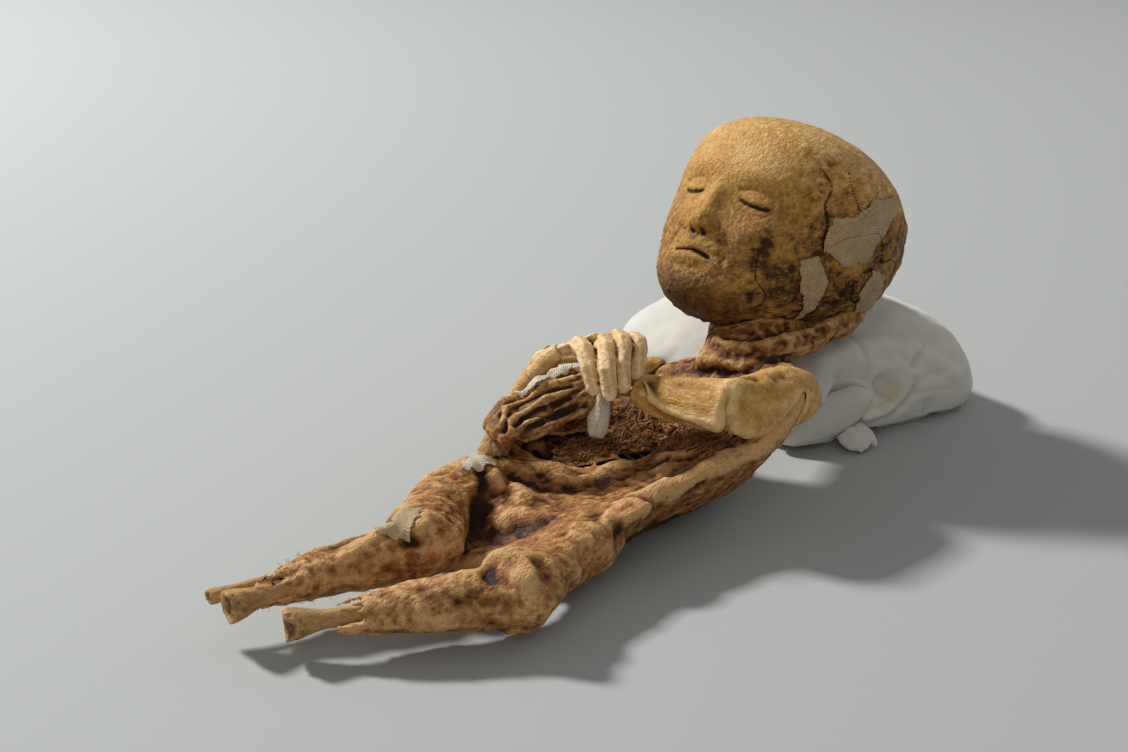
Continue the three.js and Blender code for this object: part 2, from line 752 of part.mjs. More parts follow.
// A patch lies on the head: the shell between two swollen heads, inside an outline drawn on its side.
function headPatch(outline) {
  const shell = headForm(GAP + LINEN).subtract(headForm(GAP));
  const ring = (left) => outline.map(([forward, height]) => headPoint(left, forward, height));
  return shell.intersect(loft([ring(20), ring(90)]));
}

const TEMPLE_LINEN = [
  [-15, 40],
  [10, 26],
  [18, 14],
  [31, 4],
  [29, -7],
  [25, -14],
  [9, -15],
  [-5, -6],
  [-5, 11],
];
const CHEEK_LINEN = [
  [35, -24],
  [24, -18],
  [10, -28],
  [2, -40],
  [-2, -51],
  [22, -39],
];
const NAPE_LINEN = [
  [-14, -4],
  [-29, -1],
  [-48, -17],
  [-35, -30],
  [-16, -20],
];

function wristLinen() {
  const rows = [
    [-33, 3, 71, 2.5, 1.2],
    [-30, 10, 73.5, 5, 2],
    [-25, 19, 76, 4, 2.6],
    [-22, 29, 77.5, 3, 2.4],
    [-20, 35, 79, 1.5, 1.6],
  ];
  return limb(rows, { sides: 10, steps: 2, shape: crease(0.12, 4) });
}

function thumbLinen() {
  const [, , joint, tip] = THUMB.right;
  const rows = stationsBetween(joint, tip, [
    [-0.25, 4.6, 4.6],
    [0.3, 5.2, 5],
    [0.9, 5.6, 5.2],
    [1.5, 5, 4.4],
    [1.75, 3, 2.4],
  ]);
  return limb(rows, { sides: 12, steps: 1 });
}

function flake(form, centre, wide, long) {
  const ring = (lift) =>
    Array.from({ length: 14 }, (_, k) => {
      const a = (2 * Math.PI * k) / 14;
      const ragged = 1 + 0.22 * Math.sin(3 * a) + 0.14 * Math.sin(7 * a);
      return at(centre.x + wide * ragged * Math.cos(a), centre.y + long * ragged * Math.sin(a), centre.z + lift);
    });
  const column = loft([ring(0), ring(40)]);
  return form(GAP + LINEN).subtract(form(GAP)).intersect(column);
}

// Pillow

// A soft box over the footprint: crowned top, drawn-in sides, flat underside on the table.
function pillowForm(grow = 0) {
  const middle = at((PILLOW.left + PILLOW.right) / 2, (PILLOW.foot + PILLOW.head) / 2, 0);
  const halfX = (PILLOW.left - PILLOW.right) / 2 + grow;
  const halfY = (PILLOW.head - PILLOW.foot) / 2 + grow;
  const ring = (share) => {
    const size = share === 0 ? 0.94 : PILLOW_CROWN + (1 - PILLOW_CROWN) * Math.sqrt(1 - share ** 2.6);
    return Array.from({ length: PILLOW_SIDES }, (_, k) => {
      const a = (2 * Math.PI * (k + 0.5)) / PILLOW_SIDES;
      const square = 1 - (1 - size) * 0.6;
      const c = Math.sign(Math.cos(a)) * Math.abs(Math.cos(a)) ** (PILLOW_CORNER / square);
      const s = Math.sign(Math.sin(a)) * Math.abs(Math.sin(a)) ** (PILLOW_CORNER / square);
      const drawn = size * (1 - PILLOW_DRAWN * (1 - Math.abs(c * s)) ** 2);
      const slant = (PILLOW_SLANT * Math.max(c, 0) * (s - 1)) / 2;
      return at(middle.x + halfX * c * drawn + slant, middle.y + halfY * s * drawn, (PILLOW.height + grow) * share);
    });
  };
  return loft([0, 0.18, 0.42, 0.64, 0.82, 0.94, 1].map(ring));
}

// The open end of the cover is folded over at the left foot corner, and one corner of the fold hangs
// out as a tail on the table. A hollow beside the fold leads into the cover.
function pillowFlap(grow = 0) {
  const rows = [
    [9, 168, 9, 4, 4],
    [14, 175, 11, 8, 9],
    [21, 187, 15, 9, 13],
    [28, 201, 20, 9, 13],
    [33, 213, 25, 7, 10],
    [36, 220, 27, 3, 4],
  ];
  return limb(rows, { sides: 12, steps: 1, grow });
}

function pillowTail(grow = 0) {
  const rows = [
    [26, 210, 12, 8, 4],
    [34, 206, 8.5, 11, 4.6],
    [41, 202, 5.4, 10, 4.2],
    [46, 198, 3.4, 6, 2.4],
  ];
  return limb(rows, { sides: 10, steps: 1, grow });
}

function pillowHollow() {
  const rows = [
    [56, 220, 35, 11, 10],
    [41, 235, 29, 9, 8],
    [31, 245, 25, 4, 4],
  ];
  return limb(rows, { sides: 12, steps: 2 });
}

// Assembly

function buildHead() {
  const ears = [ear(1, GAP), ear(-1, GAP)];
  const scalp = joined([headForm(0), ear(1), ear(-1)]);
  const chestSpine = spineBetween(SPINE.chest, SPINE.neck, 12, VERTEBRA, GAP);
  const neckTools = [headForm(GAP), ...ears, trunkForm(-GAP), neckSpine(GAP)];
  addPiece("head_skin", cutBy(scalp, [skullForm(GAP), jawForm(GAP), neckSpine(GAP)]), SKIN_GOLD);
  addPiece("skull", cutBy(skullForm(0), [neckSpine(GAP)]), BONE);
  addPiece("lower_jaw", cutBy(jawForm(0), [skullForm(GAP), neckSpine(GAP)]), BONE);
  addPiece("neck_vertebrae", cutBy(neckSpine(0), [chestSpine]), BONE);
  addPiece("neck_skin", cutBy(neckForm(0), neckTools), SKIN_BROWN);
  for (const [name, outline] of Object.entries({ temple: TEMPLE_LINEN, cheek: CHEEK_LINEN, nape: NAPE_LINEN })) {
    addPiece(`${name}_linen`, cutBy(headPatch(outline), [...ears, neckForm(GAP)]), LINEN_GREY);
  }
}

function buildTrunk() {
  const bones = [femur, humerus, shoulderBlade, hipBone];
  const passages = ["left", "right"].flatMap((side) => bones.map((bone) => bone(side, GAP)));
  const shell = cutBy(trunkForm(0), [trunkForm(TRUNK_WALL), holeTool(), neckSpine(GAP), ...passages]);
  addPiece("trunk_skin", shell, SKIN_BROWN);
  addPiece("chest_vertebrae", spineBetween(SPINE.chest, SPINE.neck, 12, VERTEBRA), BONE);
  addPiece("loin_vertebrae", spineBetween(SPINE.loin, SPINE.chest - 2 * GAP, 5, LOIN_VERTEBRA), BONE);
  addPiece("sacrum", sacrum(), BONE);
  addPiece("breastbone", breastbone(), BONE);
  const ribEnds = [spineBetween(SPINE.chest, SPINE.neck, 12, VERTEBRA, GAP), breastbone(GAP)];
  for (const side of ["left", "right"]) {
    const cage = ribs(side).intersect(trunkForm(TRUNK_WALL + GAP));
    addPiece(`ribs_${side}`, cutBy(cage, [...ribEnds, humerus(side, GAP)]), BONE);
    addPiece(`collar_bone_${side}`, collarBone(side), BONE);
    addPiece(`shoulder_blade_${side}`, shoulderBlade(side), BONE);
    addPiece(`hip_bone_${side}`, hipBone(side), BONE);
  }
}

function buildArm(side) {
  const bones = [humerus(side, GAP), radius(side, GAP), ulna(side, GAP)];
  const upper = cutBy(upperArmForm(side), [trunkForm(-GAP), ...bones]);
  const hollow = side === "left" ? [forearmHollow()] : [];
  const torn = side === "left" ? 2 : 0;
  const draped = side === "left" ? [handForm("right", GAP)] : [radius("left", GAP), ulna("left", GAP)];
  const hand = cutBy(handForm(side), [...bones, ...draped, trunkForm(-GAP)]);
  const handTools = [handForm("left", GAP), handForm("right", GAP)];
  const lowerTools = [upperArmForm(side, GAP), trunkForm(-GAP), ...handTools, ...hollow, ...bones];
  addPiece(`upper_arm_skin_${side}`, upper, SKIN_TAN);
  addPiece(`forearm_skin_${side}`, cutBy(forearmForm(side, 0, torn), lowerTools), SKIN_TAN);
  addPiece(`hand_${side}`, hand, side === "left" ? SKIN_TAN : SKIN_PALE);
  addPiece(`humerus_${side}`, humerus(side), BONE);
  addPiece(`radius_${side}`, radius(side), BONE);
  addPiece(`ulna_${side}`, ulna(side), BONE);
}

function buildLeg(side) {
  const bones = [femur(side, GAP), tibia(side, GAP), fibula(side, GAP)];
  addPiece(`thigh_skin_${side}`, cutBy(thighForm(side), [trunkForm(-GAP), ...bones]), SKIN_LEG);
  addPiece(`shin_skin_${side}`, cutBy(shinForm(side, 0, 2.4), [thighForm(side, GAP), ...bones]), SKIN_LEG);
  addPiece(`femur_${side}`, femur(side), BONE);
  addPiece(`tibia_${side}`, tibia(side), BONE);
  addPiece(`fibula_${side}`, fibula(side), BONE);
}

function buildLinen() {
  const hands = [handForm("left", GAP), handForm("right", GAP)];
  addPiece("wrist_linen", cutBy(wristLinen(), hands), LINEN_WHITE);
  addPiece("thumb_linen", cutBy(thumbLinen(), hands), LINEN_GREY);
  const kneeForm = (grow) => thighForm("right", grow).add(shinForm("right", grow));
  addPiece("knee_linen", flake(kneeForm, at(3, -104, 30), 7, 14), LINEN_WHITE);
  const hipForm = (grow) => trunkForm(-grow).add(thighForm("right", grow));
  addPiece("hip_linen", flake(hipForm, at(-24, -30, 20), 6, 9), LINEN_WHITE);
}

function buildPillow() {
  const body = [headForm(GAP), neckForm(GAP), trunkForm(-GAP), upperArmForm("left", GAP), ear(1, GAP)];
  addPiece("pillow", cutBy(pillowForm(), [...body, pillowFlap(GAP), pillowTail(GAP), pillowHollow()]), COTTON);
  addPiece("pillow_flap", cutBy(pillowFlap(), body), COTTON);
  addPiece("pillow_tail", cutBy(pillowTail(), [...body, pillowFlap(GAP)]), COTTON);
}

buildHead();
buildTrunk();
buildArm("left");
buildArm("right");
buildLeg("left");
buildLeg("right");
buildLinen();
buildPillow();

const box = new THREE.Box3().setFromObject(object);
object.position.set(-(box.min.x + box.max.x) / 2, -(box.min.y + box.max.y) / 2, -box.min.z);

export default object;
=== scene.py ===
# Looks of a dried infant mummy on its pillow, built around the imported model.

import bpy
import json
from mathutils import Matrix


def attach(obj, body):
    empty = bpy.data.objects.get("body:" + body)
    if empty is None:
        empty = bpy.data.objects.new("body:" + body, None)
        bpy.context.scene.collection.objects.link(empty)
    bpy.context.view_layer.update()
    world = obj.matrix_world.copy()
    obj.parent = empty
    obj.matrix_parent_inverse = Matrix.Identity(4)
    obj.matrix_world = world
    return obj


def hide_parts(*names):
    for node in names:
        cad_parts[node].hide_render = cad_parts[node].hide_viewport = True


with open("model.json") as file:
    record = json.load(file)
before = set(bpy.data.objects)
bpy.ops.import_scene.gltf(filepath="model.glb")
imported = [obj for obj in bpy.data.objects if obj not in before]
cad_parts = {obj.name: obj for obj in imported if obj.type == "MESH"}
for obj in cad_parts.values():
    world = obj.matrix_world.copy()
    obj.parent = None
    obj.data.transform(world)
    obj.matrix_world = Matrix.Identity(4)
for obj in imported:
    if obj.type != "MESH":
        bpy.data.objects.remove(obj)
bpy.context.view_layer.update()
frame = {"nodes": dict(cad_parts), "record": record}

import itertools
import json
import math

import bpy
import numpy as np
from mathutils import Vector
from mathutils.bvhtree import BVHTree

bl_info = {
    "name": "Child mummy",
    "version": (1, 0, 0),
    "blender": (4, 5, 0),
    "location": "View3D > Sidebar > Mummy",
    "description": "Dresses the packed parts of a dried infant mummy and its pillow",
    "category": "Object",
}

MM = 0.001
TABLE_GAP = 0.1
BODY = "mummy"
REST = "pillow"

# The trunk's mount lies at a known point of the body's own frame, which ties that frame to the row's.
TRUNK_MOUNT = np.array((11.0, -4.0, 0.0))
MOUNT = next(m for m in frame["record"]["mounts"] if m["name"] == "trunk_back")
SHIFT = np.array(MOUNT["pos_m"]) / MM - TRUNK_MOUNT


def row(points):
    """Points of the body's frame, in millimetres, as points of the row's frame, in metres."""
    return (np.asarray(points, float) + SHIFT) * MM


def body(points):
    """Points of the row's frame, in metres, as points of the body's frame, in millimetres."""
    return np.asarray(points, float) / MM - SHIFT


# Noise and marks

def lattice(cell, seed):
    """A repeatable number from 0 to 1 for each whole-numbered cell."""
    n = cell[..., 0] * 73856093 ^ cell[..., 1] * 19349663 ^ cell[..., 2] * 83492791 ^ (seed * 2654435761)
    n = (n ^ (n >> 13)) * 1274126177
    n = (n ^ (n >> 15)) * 668265263
    return ((n ^ (n >> 16)) & 0xFFFF) / 65535.0


def noise(points, size, seed=0):
    """Smooth noise from -1 to 1 with lumps of the given size."""
    p = points / size
    cell = np.floor(p).astype(np.int64)
    f = p - cell
    f = f * f * (3 - 2 * f)
    total = np.zeros(len(points))
    for corner in itertools.product((0, 1), repeat=3):
        weight = np.prod(np.where(corner, f, 1 - f), axis=1)
        total += weight * lattice(cell + np.array(corner), seed)
    return 2 * total - 1


def layered(points, size, layers=3, seed=0):
    """Noise with finer layers on top of it."""
    total = sum(noise(points, size / 2**k, seed + k) / 2**k for k in range(layers))
    return total / sum(0.5**k for k in range(layers))


def ridged(points, size, seed=0, layers=2):
    """Sharp winding ridges, 1 along a ridge and 0 between them."""
    total = sum((1 - np.abs(noise(points, size / 2**k, seed + k))) ** 3 / 2**k for k in range(layers))
    return total / sum(0.5**k for k in range(layers))


def stretched(points, along, ratio):
    """Points drawn together along a direction, so that noise on them runs in streaks that way."""
    d = np.asarray(along, float)
    d = d / np.linalg.norm(d)
    return points - np.outer(points @ d, d) * (1 - 1 / ratio)


def smooth_step(values, low, high):
    """0 below low, 1 above high, and smooth in between."""
    t = np.clip((values - low) / (high - low), 0, 1)
    return t * t * (3 - 2 * t)


def bell(values, width):
    """1 where a value is 0, falling smoothly to 0 at about twice the width."""
    return np.exp(-((values / width) ** 2))


def path_distance(points, path):
    """The distance from each point to a path of straight pieces."""
    best = np.full(len(points), np.inf)
    for a, b in zip(path, path[1:]):
        a, b = np.asarray(a, float), np.asarray(b, float)
        t = np.clip((points - a) @ (b - a) / ((b - a) @ (b - a)), 0, 1)
        best = np.minimum(best, np.linalg.norm(points - a - np.outer(t, b - a), axis=1))
    return best


def along_path(points, path, width):
    """1 on a path, falling smoothly to 0 at about twice the width."""
    return bell(path_distance(points, path), width)


def spot(points, centre, width):
    """1 at a place, falling smoothly to 0 at about twice the width."""
    return bell(np.linalg.norm(points - np.asarray(centre, float), axis=1), width)


def flattened(points):
    """Points with their heights drawn together, so that a mark is found by its place more than its height."""
    return np.asarray(points, float) * (1, 1, 0.4)


def marked(points, marks, squeeze=flattened):
    """The height, paleness and darkness that marks give to each point; a mark may leave out the last two."""
    high, pale, dark = (np.zeros(len(points)) for _ in range(3))
    p = squeeze(points)
    for path, width, height, *tone in marks:
        paler, darker = (*tone, 0, 0)[:2]
        amount = along_path(p, squeeze(path), width)
        high += height * amount
        pale += paler * amount
        dark += darker * amount
    return high, pale, dark


# Meshes

def new_object(name, points, faces, smooth=True):
    """An object of the given points, in metres of the row's frame, and faces."""
    mesh = bpy.data.meshes.new(name)
    mesh.from_pydata(np.asarray(points).tolist(), [], faces if isinstance(faces, list) else faces.tolist())
    mesh.update()
    if smooth:
        mesh.shade_smooth()
    obj = bpy.data.objects.new(name, mesh)
    bpy.context.scene.collection.objects.link(obj)
    return obj


def rows_of(items, key, width, kind=np.float32):
    """One property of all of a mesh's items, as rows of the given width."""
    values = np.empty(len(items) * width, kind)
    items.foreach_get(key, values)
    return values.reshape(-1, width)


def points_of(obj):
    return rows_of(obj.data.vertices, "co", 3).astype(float)


def normals_of(obj):
    return rows_of(obj.data.vertex_normals, "vector", 3).astype(float)


def edges_of(obj):
    return rows_of(obj.data.edges, "vertices", 2, np.int32).T


def triangles_of(obj):
    obj.data.calc_loop_triangles()
    return rows_of(obj.data.loop_triangles, "vertices", 3, np.int32)


def set_points(obj, points):
    obj.data.vertices.foreach_set("co", np.asarray(points, np.float32).ravel())
    obj.data.update()


def push(obj, millimetres):
    """Moves each point out along its normal, or in where the number is negative."""
    set_points(obj, points_of(obj) + normals_of(obj) * (np.asarray(millimetres) * MM)[:, None])


def settled(obj):
    """Presses what would sink into the table flat onto it."""
    points = points_of(obj)
    points[:, 2] = np.maximum(points[:, 2], TABLE_GAP * MM)
    set_points(obj, points)


def paint(obj, **tones):
    """Keeps numbers on the points, for the finish to read."""
    for name, values in tones.items():
        attribute = obj.data.attributes.get(name) or obj.data.attributes.new(name, "FLOAT", "POINT")
        attribute.data.foreach_set("value", np.asarray(values, np.float32))


def tinted(obj, relief, burnt, **tones):
    """Paints creases and ridges from -1 to 1, which the finishes turn into painted shade and painted
    highlight, and dark places from 0 to 1, partly stains and partly painted shade, along with other tones.
    """
    paint(obj, relief=np.clip(relief, -1, 1), burnt=np.clip(burnt, 0, 1), **tones)


def baked(obj, name):
    """The object with its modifiers applied, as a new one in its place."""
    graph = bpy.context.evaluated_depsgraph_get()
    mesh = bpy.data.meshes.new_from_object(obj.evaluated_get(graph))
    obj.name = "spent"
    mesh.name = name
    mesh.shade_smooth()
    done = bpy.data.objects.new(name, mesh)
    bpy.context.scene.collection.objects.link(done)
    bpy.data.objects.remove(obj)
    return done


def ring_faces(rings, sides):
    """Faces between rings of points that each close on themselves."""
    place = np.arange(sides)
    starts = np.arange(rings - 1)[:, None] * sides
    a, b = (starts + place).ravel(), (starts + (place + 1) % sides).ravel()
    return np.stack([a, b, b + sides, a + sides], axis=1).tolist()


def cap_faces(ring_start, sides, pole, outward):
    """Faces between one ring of points and the pole that closes it."""
    k = np.arange(sides)
    a, b = ring_start + k, ring_start + (k + 1) % sides
    ends = [a, b] if outward else [b, a]
    return np.stack([*ends, np.full(sides, pole)], axis=1).tolist()


def closed_loft(name, rings):
    """A closed mesh through rings of points, with a pole at each end."""
    rings = np.asarray(rings)
    count, sides = rings.shape[:2]
    points = np.concatenate([rings.reshape(-1, 3), rings[0].mean(0)[None], rings[-1].mean(0)[None]])
    faces = ring_faces(count, sides)
    faces += cap_faces(0, sides, count * sides, False)
    faces += cap_faces((count - 1) * sides, sides, count * sides + 1, True)
    return faced_out(new_object(name, points, faces))


def faced_out(obj):
    """Turns a closed mesh's faces outward where they all point in."""
    a, b, c = np.moveaxis(points_of(obj)[triangles_of(obj)], 1, 0)
    if np.einsum("ij,ij->i", a, np.cross(b, c)).sum() < 0:
        obj.data.flip_normals()
    return obj


def node_mesh(names, grow=0.0):
    """The merged points and triangles of some nodes' solids, each swelled by grow millimetres."""
    pieces = []
    for node in names:
        solid = frame["nodes"][node]
        co = points_of(solid)
        cells = np.round(co * 1e6).astype(np.int64)
        _, first, back = np.unique(cells, axis=0, return_index=True, return_inverse=True)
        tri = back.ravel()[rows_of(solid.data.polygons, "vertices", 3, np.int32)]
        tri = tri[(tri[:, 0] != tri[:, 1]) & (tri[:, 1] != tri[:, 2]) & (tri[:, 2] != tri[:, 0])]
        co = co[first]
        cross = np.cross(co[tri[:, 1]] - co[tri[:, 0]], co[tri[:, 2]] - co[tri[:, 0]])
        normals = np.zeros_like(co)
        for k in range(3):
            np.add.at(normals, tri[:, k], cross)
        normals /= np.maximum(np.linalg.norm(normals, axis=1), 1e-12)[:, None]
        pieces.append((co + normals * grow * MM, tri))
    return gathered(pieces)


def gathered(pieces):
    """The points and triangles of several pieces as one list of each."""
    starts = np.cumsum([0] + [len(points) for points, _ in pieces[:-1]])
    points = np.concatenate([points for points, _ in pieces])
    return points, np.concatenate([faces + start for start, (_, faces) in zip(starts, pieces)])


def strand(path, radii, sides=5):
    """A closed, tapering strip of tissue along points of the body's frame."""
    path = np.asarray(path, float)
    radii = np.broadcast_to(np.asarray(radii, float), len(path))
    along = np.gradient(path, axis=0)
    along /= np.linalg.norm(along, axis=1)[:, None]
    side = np.cross(along, (0.13, 0.21, 0.97))
    side /= np.linalg.norm(side, axis=1)[:, None]
    rise = np.cross(side, along)
    turn = 2 * np.pi * np.arange(sides) / sides
    spread = np.cos(turn)[None, :, None] * side[:, None] + np.sin(turn)[None, :, None] * rise[:, None]
    rings = path[:, None] + radii[:, None, None] * spread
    quads = np.array(ring_faces(len(path), sides))
    last = (len(path) - 1) * sides
    caps = cap_faces(0, sides, last + sides, False) + cap_faces(last, sides, last + sides + 1, True)
    points = np.concatenate([rings.reshape(-1, 3), path[:1], path[-1:]])
    return row(points), np.concatenate([quads[:, [0, 1, 2]], quads[:, [0, 2, 3]], np.array(caps)])


def largest_shell(obj):
    """Drops every loose shell but the one with the most points."""
    a, b = edges_of(obj)
    label = np.arange(len(obj.data.vertices))
    while True:
        low = np.minimum(label[a], label[b])
        fresh = label.copy()
        np.minimum.at(fresh, label[a], low)
        np.minimum.at(fresh, label[b], low)
        fresh = fresh[fresh]
        if (fresh == label).all():
            break
        label = fresh
    values, counts = np.unique(label, return_counts=True)
    return obj if len(values) == 1 else kept_part(obj, label == values[counts.argmax()])


def kept_part(obj, keep):
    """The object with only the points that keep marks, and the faces among them."""
    number = np.cumsum(keep) - 1
    whole = (face.vertices for face in obj.data.polygons if all(keep[v] for v in face.vertices))
    faces = [[int(number[v]) for v in face] for face in whole]
    name = obj.name
    points = points_of(obj)[keep]
    bpy.data.objects.remove(obj)
    return new_object(name, points, faces)


def evened(obj, name, voxel, smooth):
    """The object as one fine even mesh of its outer form, with its edges rounded."""
    remesh = obj.modifiers.new("Even", "REMESH")
    remesh.mode = "VOXEL"
    remesh.voxel_size = voxel * MM
    remesh.adaptivity = 0
    rounding = obj.modifiers.new("Round", "SMOOTH")
    rounding.factor = 0.5
    rounding.iterations = smooth
    return baked(obj, name)


def moulded(names, name, voxel, smooth, grow=0.0, extra=()):
    """A fine even mesh of some nodes' outer form, with extra strips grown onto it afterwards."""
    obj = evened(new_object(f"{name}_block", *node_mesh(names, grow)), name, voxel, smooth)
    if extra:
        points, faces = gathered([(points_of(obj), triangles_of(obj)), *extra])
        bpy.data.objects.remove(obj)
        obj = evened(new_object(f"{name}_joined", points, faces), name, voxel, 2)
    return largest_shell(obj)


def stand_out(obj, rounds, size):
    """From -1 in a crease to 1 on a ridge: how far each point leaves its smoothed surroundings."""
    a, b = edges_of(obj)
    total = len(obj.data.vertices)
    ends, others = np.concatenate([a, b]), np.concatenate([b, a])
    count = np.maximum(np.bincount(ends, minlength=total), 1)[:, None]
    points = points_of(obj)
    soft = points
    for _ in range(rounds):
        near = np.stack([np.bincount(ends, soft[others, k], total) for k in range(3)], axis=1) / count
        soft = (soft + near) / 2
    return np.clip(np.einsum("ij,ij->i", points - soft, normals_of(obj)) / (size * MM), -1, 1)


def surface(points, faces):
    """A surface on which rays can be cast."""
    return BVHTree.FromPolygons(points.tolist(), faces.tolist())


# Finishes

class Wire:
    """A value in a material's tree, with which shader maths is written as an expression."""

    def __init__(self, finish, socket):
        self.finish = finish
        self.socket = socket

    def maths(self, operation, *values):
        return self.finish.node("ShaderNodeMath", {"operation": operation}, dict(enumerate(values)))

    def __add__(self, other):
        return self.maths("ADD", self, other)

    def __radd__(self, other):
        return self.maths("ADD", other, self)

    def __sub__(self, other):
        return self.maths("SUBTRACT", self, other)

    def __rsub__(self, other):
        return self.maths("SUBTRACT", other, self)

    def __mul__(self, other):
        return self.maths("MULTIPLY", self, other)

    def __rmul__(self, other):
        return self.maths("MULTIPLY", other, self)

    def sine(self):
        return self.maths("SINE", self)

    def size(self):
        return self.maths("ABSOLUTE", self)

    def least(self, other):
        return self.maths("MINIMUM", self, other)

    def clipped(self):
        return self.finish.node("ShaderNodeClamp", {}, {"Value": self})

    def between(self, low, high):
        """0 below low, 1 above high, and smooth in between."""
        inputs = {"Value": self, "From Min": low, "From Max": high}
        return self.finish.node("ShaderNodeMapRange", {"interpolation_type": "SMOOTHSTEP"}, inputs)


class Finish:
    """A material whose tree is written in expressions."""

    def __init__(self, name, roughness=0.7, coat=0.0, sheen=0.0, specular=0.35):
        self.material = bpy.data.materials.new(name)
        self.material.use_nodes = True
        self.tree = self.material.node_tree
        self.shader = self.tree.nodes["Principled BSDF"]
        self.shader.inputs["Roughness"].default_value = roughness
        self.shader.inputs["Specular IOR Level"].default_value = specular
        self.shader.inputs["Coat Weight"].default_value = coat
        self.shader.inputs["Sheen Weight"].default_value = sheen
        self.place = self.node("ShaderNodeTexCoord", {}, {}, "Object")

    def node(self, kind, settings, inputs, output=0):
        """Adds a node with its settings and its sockets' values or links, and gives one of its outputs."""
        made = self.tree.nodes.new(kind)
        for key, value in settings.items():
            setattr(made, key, value)
        for key, value in inputs.items():
            if isinstance(value, Wire):
                self.tree.links.new(value.socket, made.inputs[key])
            else:
                made.inputs[key].default_value = value
        return Wire(self, made.outputs[output])

    def read(self, name):
        """Numbers that are kept on the piece's points."""
        return self.node("ShaderNodeAttribute", {"attribute_name": name}, {}, "Fac")

    def grain(self, size, detail=3.0, stretch=None, distortion=0.0):
        """Noise with lumps of about the given size in millimetres."""
        place = self.place
        if stretch is not None:
            place = self.node("ShaderNodeMapping", {}, {"Vector": place, "Scale": stretch})
        inputs = {"Vector": place, "Scale": 1 / (size * MM), "Detail": detail, "Distortion": distortion}
        return self.node("ShaderNodeTexNoise", {}, inputs, "Fac")

    def cells(self, size):
        """The distance to the middle of the nearest cell, with cells of the given size in millimetres."""
        inputs = {"Vector": self.place, "Scale": 1 / (size * MM)}
        return self.node("ShaderNodeTexVoronoi", {"feature": "F1"}, inputs, "Distance")

    def mix(self, share, first, second):
        """A colour between two colours."""
        settings = {"data_type": "RGBA", "clamp_factor": True}
        return self.node("ShaderNodeMix", settings, {0: share, 6: first, 7: second}, 2)

    def bump(self, height, strength, depth):
        """Relief of the given depth in millimetres from a height of 0 to 1."""
        inputs = {"Height": height, "Strength": strength, "Distance": depth * MM}
        return self.node("ShaderNodeBump", {}, inputs, "Normal")

    def give(self, **links):
        """Links what varies to the shader and gives the finished material."""
        names = {"colour": "Base Color", "roughness": "Roughness", "normal": "Normal"}
        for key, wire in links.items():
            self.tree.links.new(wire.socket, self.shader.inputs[names[key]])
        return self.material


def rgba(code):
    """A colour written as in paint codes, #rrggbb, as the linear numbers that a shader takes."""
    channels = [int(code[k : k + 2], 16) / 255 for k in (1, 3, 5)]
    return (*(c / 12.92 if c <= 0.04045 else ((c + 0.055) / 1.055) ** 2.4 for c in channels), 1.0)


def skin_finish(name, deep, middle, pale, roughness=0.62, coat=0.0, grain_way=(1.0, 0.3, 1.0), mottle=1.0):
    """Dried skin with fine fibres running along it, with painted shade in its creases and a painted highlight
    on its ridges.
    """
    f = Finish(name, roughness=roughness, coat=coat, specular=0.25)
    relief, light, burnt = f.read("relief"), f.read("light"), f.read("burnt")
    clouds = f.grain(12, 4)
    fibres = f.grain(1.6, 5, stretch=grain_way, distortion=0.5)
    fine = f.grain(0.55, 2, stretch=grain_way)
    crumbs = f.grain(2.4, 5)
    uneven = (clouds - 0.5) * 0.25 + (fibres - 0.5) * 0.85 + (crumbs - 0.5) * 0.5
    # The relief draws the colour towards the deep one in creases and the pale one on ridges: painted shade
    # and painted highlight.
    share = light + uneven * mottle + relief * 0.4
    colour = f.mix((share * 2).clipped(), deep, middle)
    colour = f.mix(((share - 0.5) * 2).clipped(), colour, pale)
    colour = f.mix(fine.between(0.52, 0.72) * 0.4, colour, deep)
    # Creases and the dark places go towards near black: painted shade in the creases, and stains with painted
    # shade in the dark places.
    crease = (0 - relief).between(0.25, 1.0) * 0.8 + burnt * (0.7 + (crumbs - 0.5) * 1.4)
    colour = f.mix(crease.clipped(), colour, rgba("#2a1608"))
    height = fibres * 0.9 + fine * 0.35 + crumbs * (0.8 + burnt * 0.6)
    rough = (burnt * 0.25 + roughness + (clouds - 0.5) * 0.2).clipped()
    return f.give(colour=colour, roughness=rough, normal=f.bump(height, 1.0, 1.3 * mottle))


def bone_finish(name):
    """Bare old bone: streaked along its shaft, dark and full of pores where its end is broken."""
    f = Finish(name, roughness=0.7, specular=0.3)
    relief, burnt = f.read("relief"), f.read("burnt")
    streaks = f.grain(1.4, 4, stretch=(1.0, 0.18, 1.0))
    clouds = f.grain(9, 3)
    pores = f.cells(1.3)
    # The relief makes the ridges paler and the creases darker: painted highlight and painted shade.
    share = (streaks * 0.9 + clouds * 0.5 - 0.2 + relief * 0.35).clipped()
    colour = f.mix(share, rgba("#6b4a2a"), rgba("#c69c63"))
    colour = f.mix((1 - pores.between(0.12, 0.4)) * (0.25 + burnt * 0.7), colour, rgba("#21140a"))
    colour = f.mix(burnt * 0.45, colour, rgba("#3a2413"))
    return f.give(colour=colour, normal=f.bump(streaks + pores * (0.3 + burnt), 0.7, 0.5))


def linen_finish(name, thread, shade, pitch, open_weave):
    """Plain weave on the piece's own flat coordinates, in millimetres."""
    f = Finish(name, roughness=0.92, sheen=0.2, specular=0.2)
    across, along = f.read("warp"), f.read("weft")
    turn = 2 * math.pi / pitch
    over, under = (across * turn).sine(), (along * turn).sine()
    weave = over * under
    gaps = over.size().least(under.size())
    dirt = f.grain(7, 4)
    stain = f.grain(2.2, 3)
    colour = f.mix((dirt * 1.3 - 0.15 + weave * 0.1).clipped(), shade, thread)
    colour = f.mix((1 - gaps.between(0.05, 0.5)) * open_weave, colour, rgba("#5f4628"))
    colour = f.mix(stain.between(0.58, 0.78) * 0.4, colour, rgba("#6d5232"))
    return f.give(colour=colour, normal=f.bump(gaps + weave * 0.4, 1.0, 0.5))


